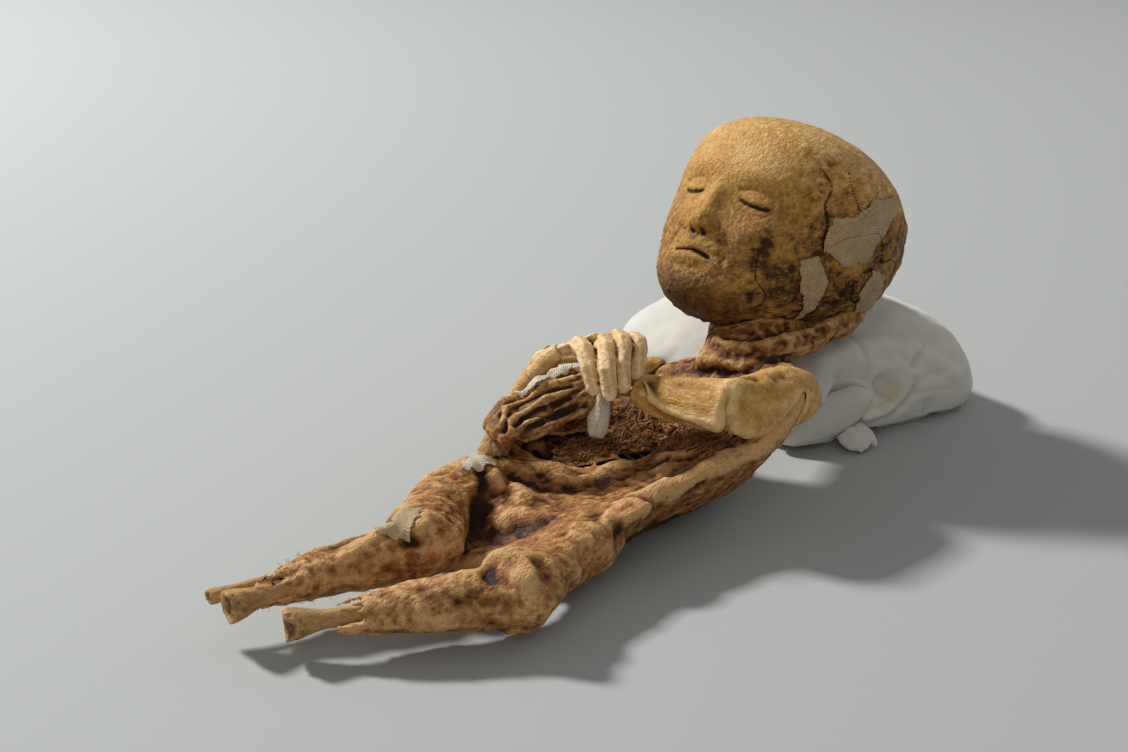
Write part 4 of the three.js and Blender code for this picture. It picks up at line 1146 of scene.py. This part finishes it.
class MUMMY_OT_body(bpy.types.Operator):
    """Makes the dried skin of the trunk, neck and legs, and its shredded tissue."""

    bl_idname = "mummy.body"
    bl_label = "Body"

    def execute(self, context):
        s = settings()
        skin, names, frayed = make_body(s.body_relief)
        finish = skin_finish("skin_body", s.skin_deep, s.skin_brown, s.skin_pale)
        dress(skin, finish, names)
        fibre = skin_finish("skin_fibre", rgba("#2b190d"), s.skin_brown, s.skin_pale)
        dress(tissue_strips(skin), fibre, [])
        fibres = fibres_on(skin, "tissue_fibres", frayed, fibre, 30, 2.6, 0.11, 1.2, 4, 0.45)
        dress(fibres, fibre, [])
        return {"FINISHED"}


# Arms and hands

ELBOW_LIP = [(18, 49, 78), (20, 46.5, 79), (24, 45, 76), (27, 45, 71)]
RIGHT_WRIST = [(-46, 31, 68), (-41, 33, 75), (-37, 36, 80), (-33, 38, 84)]
FOREARM_EDGE = [(27, 45, 71), (37, 46.5, 67), (52, 49, 65.5), (60, 52, 64)]
# The strips that are grown onto each arm: their path, girth in millimetres and number of sides
ARM_STRANDS = {
    "left": [(ELBOW_LIP, [1.1, 1.4, 1.5, 1.3], 5), (FOREARM_EDGE, [1.3, 1.3, 1.4, 1.4], 5)],
    "right": [(RIGHT_WRIST, [4.5, 5.6, 5.6, 4.5], 8)],
}
# As on the body, the marks' paler and darker amounts are partly painted highlight and painted shade.
ARM_MARKS = {
    "left": [
        ([(24, 52, 78), (36, 55, 79), (47, 58, 79)], 5, -1.8, -0.04, 0.08),
        ([(20, 45, 73), (33, 45, 69), (51, 48, 68), (64, 55, 65)], 2.6, 1.2, 0.28),
        ([(60, 69, 84), (63, 66, 79), (63, 61, 72), (62, 55, 66)], 5, 2.2, 0.2),
        ([(62, 68, 83), (64, 66, 79)], 2.6, 0.8, 0.5),
        ([(58, 80, 83), (62, 84, 82)], 3, -1.4, -0.15, 0.2),
        ([(66, 96, 80), (66, 102, 80)], 3, -1.2, -0.12, 0.15),
        # This dark line on the forearm is a painted shadow.
        ([(24, 60, 82), (38, 67, 84), (50, 76, 85)], 4, -0.8, -0.25, 0.5),
        ([(68, 75, 70), (72, 90, 68), (72, 104, 70)], 5, 1.4, 0.1),
    ],
    "right": [],
}
# Grooves darker and ridges paler, partly painted shade and painted highlight.
HAND_MARKS = [
    ([(-12, 25, 74), (-19, 12, 71), (-25, 5, 67), (-27, -3, 65), (-24, -10, 61), (-23, -12, 56)],
     1.6, -1.5, -0.12, 0.2),
    ([(-9, 21, 69), (-12, 11, 67), (-17, 4, 64), (-20, -2, 60), (-19, -8, 59)], 1.6, -1.5, -0.12, 0.25),
    ([(-17, 33, 77), (-21, 23, 75), (-26, 16, 73), (-29, 8, 69), (-31, -2, 65), (-30, -9, 61)],
     1.3, -1.2, -0.1, 0.2),
    ([(-1, 25, 66), (-7, 16, 63), (-11, 5, 61), (-14, -3, 58)], 2.0, -1.4, -0.15, 0.3),
    ([(-15, 29, 77), (-21, 18, 74), (-27, 9, 70), (-29, -1, 66), (-27, -9, 62)], 2.6, 1.0, 0.3),
    ([(-10, 22, 72), (-15, 11, 69), (-21, 4, 65), (-23, -3, 62), (-21, -10, 59)], 1.8, 0.7, 0.2),
    # Painted shade on the palm side.
    ([(2, 42, 62), (-6, 26, 60), (-10, 12, 57)], 6, 0, -0.15, 0.3),
]
PALM_BUNDLE = [
    [(2, 42, 64), (-10, 28, 66), (-20, 14, 65), (-28, 2, 62)],
    [(2, 36, 62), (-8, 22, 62), (-18, 8, 61), (-26, -2, 59)],
]
# The way that the fibres of the arms' skin run, as the scale of a pattern
ALONG_X = (0.25, 1.0, 1.0)
NAILS = [(3, 29, 75), (12, 29, 73), (12, 40, 75), (9, 51, 77)]


def make_arm(side):
    """The dried skin of one arm, and the nodes that it stands for."""
    names = [f"upper_arm_skin_{side}", f"forearm_skin_{side}"]
    extra = [strand(*shape) for shape in ARM_STRANDS[side]]
    arm = moulded(names, f"arm_{side}", 1.0, 12, 0.3, extra)
    p = body(points_of(arm))
    high, pale, dark = marked(p, ARM_MARKS[side], np.array)
    wrinkles = ridged(stretched(p, (-1, -0.2, 0), 3), 7, 61) - 0.35
    streaks = layered(stretched(p, (-1, -0.1, 0), 5), 4, 3, 64)
    lumps = layered(p, 12, 3, 62)
    push(arm, high + 0.45 * wrinkles + 0.5 * lumps + 0.22 * streaks)
    ridge = 0.6 * stand_out(arm, 10, 0.35)
    broad = stand_out(arm, 50, 1.4)
    # The arm is painted paler on bulges, darker in broad hollows and darker on its lower side: painted light
    # and shade.
    light = 0.48 + 0.12 * lumps + 0.16 * streaks + pale + 0.22 * broad
    light -= 0.25 * smooth_step(52 - p[:, 2], -6, 10)
    tinted(arm, 0.7 * ridge + 0.4 * broad, dark, light=light)
    return arm, names


def make_hand(side):
    """The dried skin of one hand: the left one dark and grooved, the right one pale with its nails."""
    left = side == "left"
    grow, bundle = (0.45, [strand(path, 4.2, 8) for path in PALM_BUNDLE]) if left else (0.5, [])
    hand = moulded([f"hand_{side}"], f"hand_{side}_skin", 0.75, 5, grow, bundle)
    p = body(points_of(hand))
    wrinkles = layered(p, 5, 3, 63)
    high, pale, dark = marked(p, HAND_MARKS if left else [], np.array)
    if left:
        cords = ridged(stretched(p, (-0.6, -0.75, -0.3), 7), 4, 66) - 0.4
        push(hand, high + 0.5 * wrinkles + 0.55 * cords)
        light = 0.38 + 0.1 * wrinkles + 0.2 * cords + pale
    else:
        creases = ridged(stretched(p, (1, 0.3, 0), 1.6), 3.6, 67) - 0.35
        push(hand, 0.35 * wrinkles + 0.3 * creases)
        light = 0.5 + 0.1 * wrinkles + 0.8 * sum(spot(p, nail, 2.5) for nail in NAILS)
    # The relief becomes painted shade in the creases and a painted highlight on the ridges.
    ridge = stand_out(hand, 8, 0.3)
    tinted(hand, ridge, dark, light=light)
    return hand


class MUMMY_OT_arms(bpy.types.Operator):
    """Makes the dried skin of the arms and hands."""

    bl_idname = "mummy.arms"
    bl_label = "Arms and hands"

    def execute(self, context):
        s = settings()
        tones = {
            "skin_arm": (rgba("#5d3c1c"), s.skin_gold, rgba("#e2bc80"), 0.5, 0.08, ALONG_X, 0.7),
            "skin_hand": (rgba("#94663a"), rgba("#d6ab6f"), rgba("#f5e4bf"), 0.5, 0.0, ALONG_X, 0.5),
            "skin_dark_hand": (rgba("#38210f"), rgba("#956534"), rgba("#d8ab6a"), 0.55, 0.0, ALONG_X, 0.8),
        }
        gold, ivory, dark = (skin_finish(name, *values) for name, values in tones.items())
        for side, finish, slot in (("left", dark, "skin_tan"), ("right", ivory, "skin_pale")):
            arm, names = make_arm(side)
            dress(arm, gold, names)
            dress(make_hand(side), finish, [f"hand_{side}"])
        return {"FINISHED"}


# Bones

BARE_BONES = ("tibia_left", "tibia_right", "fibula_right")


def make_bare_bone(node):
    """A long bone whose bare end is spongy and broken."""
    bone = moulded([node], f"{node}_bone", 0.9, 4)
    p = body(points_of(bone))
    reach = np.linalg.norm(p - p[np.argmin(p[:, 1])], axis=1)
    broken = smooth_step(14 - reach, 0, 9)
    pores = layered(p, 3.2, 3, 72)
    streaks = layered(stretched(p, (-0.4, -0.9, 0), 5), 4, 3, 71)
    tip = p[p[:, 1] < p[:, 1].min() + 3]
    from_middle = np.linalg.norm(p - tip.mean(0), axis=1)
    wide = np.linalg.norm(tip - tip.mean(0), axis=1).max()
    hollow = smooth_step(0.72 * wide - from_middle + pores, 0, 2)
    push(bone, 0.35 * streaks + broken * (1.3 * np.minimum(pores, 0.1) + 0.6) - 2.2 * hollow)
    # The relief becomes painted highlight and shade; the broken end is painted dark, most in its hollow.
    ridge = stand_out(bone, 8, 0.3)
    tinted(bone, ridge, broken * (0.25 - pores) + 0.9 * hollow)
    return bone


class MUMMY_OT_bones(bpy.types.Operator):
    """Gives the bones their finish, and the bare ones their broken ends."""

    bl_idname = "mummy.bones"
    bl_label = "Bones"

    def execute(self, context):
        finish = bone_finish("bone")
        for part in frame["record"]["subparts"]:
            if part["material_slot"] == "bone":
                materials = frame["nodes"][part["node"]].data.materials
                materials.clear()
                materials.append(finish)
        for node in BARE_BONES:
            dress(make_bare_bone(node), finish, [node])
        return {"FINISHED"}


# Linen

LINEN_THICKNESS = 0.5
# In metres: how far back a ray starts, how far it reaches, and the least side of a flat size
START_BACK = 0.08
RAY_LENGTH = 0.2
LEAST_CUT = 0.0101


def looking(look, turn):
    """The way that a piece is looked at, and the two directions across it, turned by an angle."""
    look = np.array(look, float) / np.linalg.norm(look)
    side = np.cross(look, (0.1, 0.2, 1))
    side /= np.linalg.norm(side)
    rise = np.cross(side, look)
    cosine, sine = math.cos(turn), math.sin(turn)
    return look, np.stack([side * cosine + rise * sine, rise * cosine - side * sine])


def cast(start, aside, look, mask, cover, lift):
    """Where cloth comes to lie below each starting point, and whether the ragged piece reaches there."""
    place, kept = np.zeros_like(start), np.zeros(len(start), bool)
    for n, (origin, shift) in enumerate(zip(start, aside)):
        if mask.ray_cast(Vector(origin + shift), Vector(look), RAY_LENGTH)[0] is None:
            continue
        met, normal, _, _ = cover.ray_cast(Vector(origin), Vector(look), RAY_LENGTH)
        if met is not None:
            place[n] = np.array(met) - look * 0.3 * MM + np.array(normal) * lift * MM
            kept[n] = True
    return place, kept


def laid_linen(node, under, look, lift=0.9, crumple=0.3, ragged=1.6, step=0.8, turn=0.4, seed=1):
    """A ragged piece of linen laid where its node lies on what is under it, seen the way of look."""
    look, plane = looking(look, turn)
    solid = node_mesh([node])
    centre = solid[0].mean(0)
    half = np.abs((solid[0] - centre) @ plane.T).max(0) / MM + 2
    across, along = (np.arange(-reach, reach, step) for reach in half)
    flat = np.stack(np.meshgrid(across, along, indexing="ij"), -1).reshape(-1, 2)
    spread = flat @ np.eye(2, 3)
    start = centre + (flat * MM) @ plane - look * START_BACK
    wander = np.stack([layered(spread + seed * 7, 5, 4, seed + k) for k in (0, 9)], 1) * ragged
    cover = surface(*gathered([(points_of(obj), triangles_of(obj)) for obj in under]))
    place, kept = cast(start, (wander * MM) @ plane, look, surface(*solid), cover, lift)
    waves = layered(spread + seed, 9, 3, seed + 20) + 0.5 * layered(spread, 3.5, 2, seed + 30)
    place -= np.outer(crumple * waves * MM, look)
    rows, columns = len(across), len(along)
    a = (np.arange(rows - 1)[:, None] * columns + np.arange(columns - 1)[None, :]).ravel()
    quads = np.stack([a, a + columns, a + columns + 1, a + 1], 1)
    quads = quads[kept[quads].all(1)]
    used = np.unique(quads)
    number = np.zeros(len(flat), int)
    number[used] = np.arange(len(used))
    cloth = new_object(node + "_cloth", place[used], number[quads])
    paint(cloth, warp=flat[used, 0], weft=flat[used, 1])
    area = sum(polygon.area for polygon in cloth.data.polygons)
    cloth.modifiers.new("Round", "SMOOTH").iterations = 2
    wall = cloth.modifiers.new("Wall", "SOLIDIFY")
    wall.thickness = LINEN_THICKNESS * MM
    wall.offset = 1
    # The flat size is drawn in or out until the cloth's area is between 0.35 of it and the whole
    cut = (np.ptp(flat[used], axis=0) + step) * MM
    cut *= math.sqrt(max(area / cut.prod(), 1)) * math.sqrt(min(area / cut.prod() / 0.35, 1))
    return faced_out(baked(cloth, node + "_cloth")), area, np.maximum(cut, LEAST_CUT)


def wound_linen(node, voxel, seed):
    """Linen wrapped into a small bag, with its threads running round and along it."""
    bag = moulded([node], f"{node}_cloth", voxel, 4, 0.2)
    p = body(points_of(bag))
    centre = p.mean(0)
    way = np.linalg.svd(p - centre, full_matrices=False)[2]
    along, left, up = ((p - centre) @ axis for axis in way)
    push(bag, 0.5 * layered(p, 4, 3, seed) + 0.35 * ridged(p, 5, seed + 3))
    paint(bag, warp=np.arctan2(up, left) * np.hypot(up, left).mean(), weft=along)
    return bag


ARMS = ["arm_right", "hand_right_skin", "arm_left", "hand_left_skin"]
# Each piece's look, what it lies on, and how it is laid
LINENS = {
    "temple_linen": ("grey", ["head"], dict(look=(-1, 0.1, -0.05), ragged=2.6, turn=0.2, seed=3)),
    "cheek_linen": ("grey", ["head"], dict(look=(-1, 0.35, 0.1), ragged=2.2, turn=0.3, seed=5)),
    "nape_linen": ("grey", ["head"], dict(look=(-1, -0.2, 0), ragged=2.2, turn=0.1, seed=8)),
    "wrist_linen": ("pale", ARMS, dict(
        look=(-0.1, 0.35, -1), lift=2.0, crumple=2.2, ragged=3.0, turn=0.5, step=0.7, seed=9)),
    "knee_linen": ("crust", ["body_skin"], dict(
        look=(0, 0.1, -1), lift=0.5, crumple=1.5, ragged=5.0, turn=0.6, seed=13)),
    "hip_linen": ("pale", ["body_skin"], dict(
        look=(0.1, 0, -1), lift=0.9, crumple=1.4, ragged=3.0, turn=0.2, seed=15)),
}


class MUMMY_OT_linen(bpy.types.Operator):
    """Lays the scraps of linen on the head, the wrist, the thumb, the knee and the hip."""

    bl_idname = "mummy.linen"
    bl_label = "Linen"

    def execute(self, context):
        looks = {
            "grey": linen_finish("linen_grey", rgba("#e8c898"), rgba("#bd9a66"), 2.0, 0.6),
            "pale": linen_finish("linen_pale", rgba("#fbf1de"), rgba("#e8d3ad"), 1.7, 0.25),
            "crust": linen_finish("linen_crust", rgba("#efd9b0"), rgba("#c9a873"), 1.7, 0.35),
        }
        for node, (look, under, shape) in LINENS.items():
            cloth, area, cut = laid_linen(node, [bpy.data.objects[name] for name in under], **shape)
            dress(cloth, looks[look], [node])
        bag = wound_linen("thumb_linen", 0.6, 90)
        dress(bag, looks["pale"], ["thumb_linen"])
        area = sum(polygon.area for polygon in bag.data.polygons) / 2
        return {"FINISHED"}


# Pillow

PUFF_STEPS = 20


def swollen(obj, pressure, most):
    """The piece puffed up as filled cloth, each point moved no further than a few millimetres."""
    start = points_of(obj)
    cloth = obj.modifiers.new("Cloth", "CLOTH")
    cotton = cloth.settings
    cotton.quality = 5
    cotton.mass = 0.15
    cotton.use_pressure = True
    cotton.uniform_pressure_force = pressure
    cotton.effector_weights.gravity = 0
    cotton.tension_stiffness = 12
    cotton.bending_stiffness = 0.3
    scene = bpy.context.scene
    for step in range(1, PUFF_STEPS + 1):
        scene.frame_set(step)
        bpy.context.view_layer.update()
    mesh = obj.evaluated_get(bpy.context.evaluated_depsgraph_get()).data
    moved = rows_of(mesh.vertices, "co", 3)
    obj.modifiers.remove(cloth)
    scene.frame_set(1)
    shift = moved - start
    far = np.linalg.norm(shift, axis=1)[:, None]
    set_points(obj, start + shift * np.minimum(1, most * MM / np.maximum(far, 1e-9)))
    return obj


def subdivided(obj, name):
    fine = obj.modifiers.new("Fine", "SUBSURF")
    fine.levels = fine.render_levels = 1
    return baked(obj, name)


# A crease or ridge of the cover: its path, and its width and height in millimetres
PILLOW_MARKS = [
    ([(26, 206, 39), (30, 222, 36), (36, 238, 28)], 8, -6.5),
    ([(33, 246, 40), (40, 250, 34), (43, 248, 24), (41, 235, 17), (38, 217, 15), (36, 200, 20)],
     3.0, 3.6),
    ([(46, 252, 24), (44, 238, 13), (40, 220, 9)], 3.2, -3.0),
    ([(16, 198, 49), (20, 221, 51), (25, 242, 49), (35, 258, 45)], 6, 2.4),
    ([(42, 246, 24), (48, 262, 32), (50, 276, 32)], 3, -1.6),
    ([(34, 262, 46), (44, 272, 38), (50, 286, 26)], 5, 1.8),
    ([(10, 214, 54), (14, 236, 54), (10, 260, 58)], 4, -2.2),
    ([(40, 250, 36), (38, 262, 42), (34, 276, 47)], 1.8, -1.6),
    ([(43, 248, 30), (48, 262, 36), (51, 282, 36)], 1.8, -1.5),
    ([(43, 246, 22), (49, 260, 22), (53, 278, 20)], 1.8, -1.5),
    ([(27, 214, 41), (18, 208, 49), (8, 204, 53)], 1.8, -1.7),
    ([(30, 226, 40), (22, 226, 50), (12, 226, 56)], 2.0, -1.5),
    ([(30, 238, 40), (26, 244, 49), (18, 252, 55)], 1.6, 1.4),
    ([(34, 184, 8), (37, 200, 9), (40, 214, 9)], 1.8, -1.6),
    ([(20, 236, 48), (10, 258, 56), (6, 280, 55)], 4, -1.8),
    ([(29, 179, 19), (30, 190, 25), (32, 201, 31)], 5, 2.0),
    ([(42, 228, 20), (47, 246, 16), (50, 266, 14)], 4, -1.2),
    ([(-40, 176, 40), (-55, 190, 46), (-70, 205, 48)], 5, -1.6),
    ([(-60, 176, 36), (-80, 186, 40), (-100, 200, 36)], 6, 1.6),
    ([(-84, 172, 24), (-100, 180, 28), (-120, 196, 26)], 4, -1.4),
]
PILLOW_FILLS = {
    "pillow": [([(26, 234, 24), (31, 240, 26), (35, 246, 26), (38, 250, 26)], 8)],
    "pillow_tail": [([(34, 203, 9), (41, 201, 6.5), (45, 199.5, 3.5), (48, 199, 1.6)], [5, 4, 2.6, 1]),
                    ([(34, 212, 9), (42, 212, 6.5), (47, 211, 4), (49, 211, 2)], [5, 4, 2.4, 1])],
}
POCKET = [(36, 248, 33), (39, 243, 25), (39, 232, 20), (37, 214, 19), (35, 203, 22)]


def make_pillow_piece(node):
    """One padded piece of the pillow: its body, its open end or its tail."""
    large = node == "pillow"
    filled = [strand(path, girth, 8) for path, girth in PILLOW_FILLS.get(node, [])]
    piece = moulded([node], f"{node}_cloth", 3.2 if large else 1.1, 8 if large else 2, 0, filled)
    if large:
        piece = swollen(piece, 3.0, 5)
    piece = subdivided(piece, f"{node}_cloth")
    p = body(points_of(piece))
    loose = smooth_step(p[:, 2], 3, 12)
    high, _, _ = marked(p, PILLOW_MARKS if large else [], np.array)
    folds = layered(stretched(p, (0.3, 1, 0.4), 2), 30, 2, 81)
    creases = ridged(stretched(p, (1, 0.6, 0.5), 4), 22, 82, 1) - 0.25
    small = layered(p, 9, 3, 83)
    strength = 1.0 if large else 0.5
    push(piece, loose * (high + strength * (1.8 * folds + 0.9 * creases) + 0.35 * small))
    settled(piece)
    # The relief greys the cover's creases as painted shade.
    ridge = stand_out(piece, 14, 0.5)
    stain = 0.75 * along_path(p, np.array(POCKET), 5) * smooth_step(layered(p, 7, 2, 84), -0.5, 0.3)
    tinted(piece, ridge, stain)
    return piece


def seam_threads(pillow, finish):
    """Frayed threads along the foot of the pillow's open end."""
    x, y, z = body(points_of(pillow)).T
    seam = smooth_step(x, 24, 34) * smooth_step(y, 222, 234) * smooth_step(6 - z, 0, 3) * (z > 0.6)
    threads = fibres_on(pillow, "pillow_threads", seam, finish, 45, 5, 0.11, 0.9, 6)
    settled(threads)
    return threads


class MUMMY_OT_pillow(bpy.types.Operator):
    """Makes the soft pillow under the head and shoulders, its open end and the tail of its cover."""

    bl_idname = "mummy.pillow"
    bl_label = "Pillow"

    def execute(self, context):
        s = settings()
        finish = cotton_finish("cotton", s.cotton, rgba("#b9b5ac"))
        for node in ("pillow", "pillow_flap", "pillow_tail"):
            piece = make_pillow_piece(node)
            dress(piece, finish, [node], REST)
            if node == "pillow":
                dress(seam_threads(piece, finish), finish, [], REST)
        return {"FINISHED"}


# Stage

CAMERA_PLACE = (665.18, -657.18, 447.96)
CAMERA_AIM = (-160.0, 168.0, 0.0)
# Each lamp's place in metres, its size and its power in watts
LAMPS = {
    "key": ((-2.3, -0.46, 2.1), 0.4, 122),
    "fill": ((1.2, -1.5, 1.0), 1.6, 7.5),
    "back": ((0.2, 1.8, 1.3), 1.2, 4),
}
LAMP_AIM = (0, 0, 0.05)
AMBIENT = 0.24
FOCAL_LENGTH = 63.83
FLOOR_REACH = 6


def aimed(obj, place, aim):
    """The object put at a place and turned to look at another."""
    obj.location = Vector(place)
    obj.rotation_euler = (Vector(aim) - Vector(place)).to_track_quat("-Z", "Y").to_euler()
    bpy.context.scene.collection.objects.link(obj)
    return obj


class MUMMY_OT_stage(bpy.types.Operator):
    """Sets out the pale floor, the soft lamps and the camera."""

    bl_idname = "mummy.stage"
    bl_label = "Stage"

    def execute(self, context):
        corners = [(x * FLOOR_REACH, y * FLOOR_REACH, 0) for x, y in ((-1, -1), (1, -1), (1, 1), (-1, 1))]
        floor = new_object("floor", corners, [[0, 1, 2, 3]], smooth=False)
        f = Finish("floor_paint", roughness=0.8)
        f.shader.inputs["Base Color"].default_value = rgba("#a9aca9")
        floor.data.materials.append(f.material)
        for name, (place, size, power) in LAMPS.items():
            light = bpy.data.lights.new(name, "AREA")
            light.size = size
            light.energy = power
            aimed(bpy.data.objects.new(name, light), place, LAMP_AIM)
        world = bpy.data.worlds.new("soft")
        world.use_nodes = True
        sky = world.node_tree.nodes["Background"].inputs
        sky["Color"].default_value = (1, 1, 1, 1)
        sky["Strength"].default_value = AMBIENT
        context.scene.world = world
        camera = bpy.data.cameras.new("camera")
        camera.lens = FOCAL_LENGTH
        camera.sensor_width = 36
        camera.clip_start = 0.01
        viewer = bpy.data.objects.new("camera", camera)
        context.scene.camera = aimed(viewer, row(CAMERA_PLACE), row(CAMERA_AIM))
        context.scene.view_settings.view_transform = "Standard"
        return {"FINISHED"}


class MUMMY_PT_panel(bpy.types.Panel):
    """Lists the pieces in the order in which they are made."""

    bl_idname = "MUMMY_PT_panel"
    bl_label = "Child mummy"
    bl_space_type = "VIEW_3D"
    bl_region_type = "UI"
    bl_category = "Mummy"

    def draw(self, context):
        for operator in OPERATORS:
            self.layout.operator(operator.bl_idname)
        for name in MummySettings.__annotations__:
            self.layout.prop(context.scene.mummy, name)


OPERATORS = (
    MUMMY_OT_head,
    MUMMY_OT_body,
    MUMMY_OT_arms,
    MUMMY_OT_bones,
    MUMMY_OT_linen,
    MUMMY_OT_pillow,
    MUMMY_OT_stage,
)


def register():
    for item in (MummySettings, *OPERATORS, MUMMY_PT_panel):
        bpy.utils.register_class(item)
    bpy.types.Scene.mummy = bpy.props.PointerProperty(type=MummySettings)


def unregister():
    del bpy.types.Scene.mummy
    for item in reversed((MummySettings, *OPERATORS, MUMMY_PT_panel)):
        bpy.utils.unregister_class(item)


def main():
    register()
    for operator in OPERATORS:
        group, name = operator.bl_idname.split(".")
        getattr(getattr(bpy.ops, group), name)()


if __name__ == "__main__":
    main()
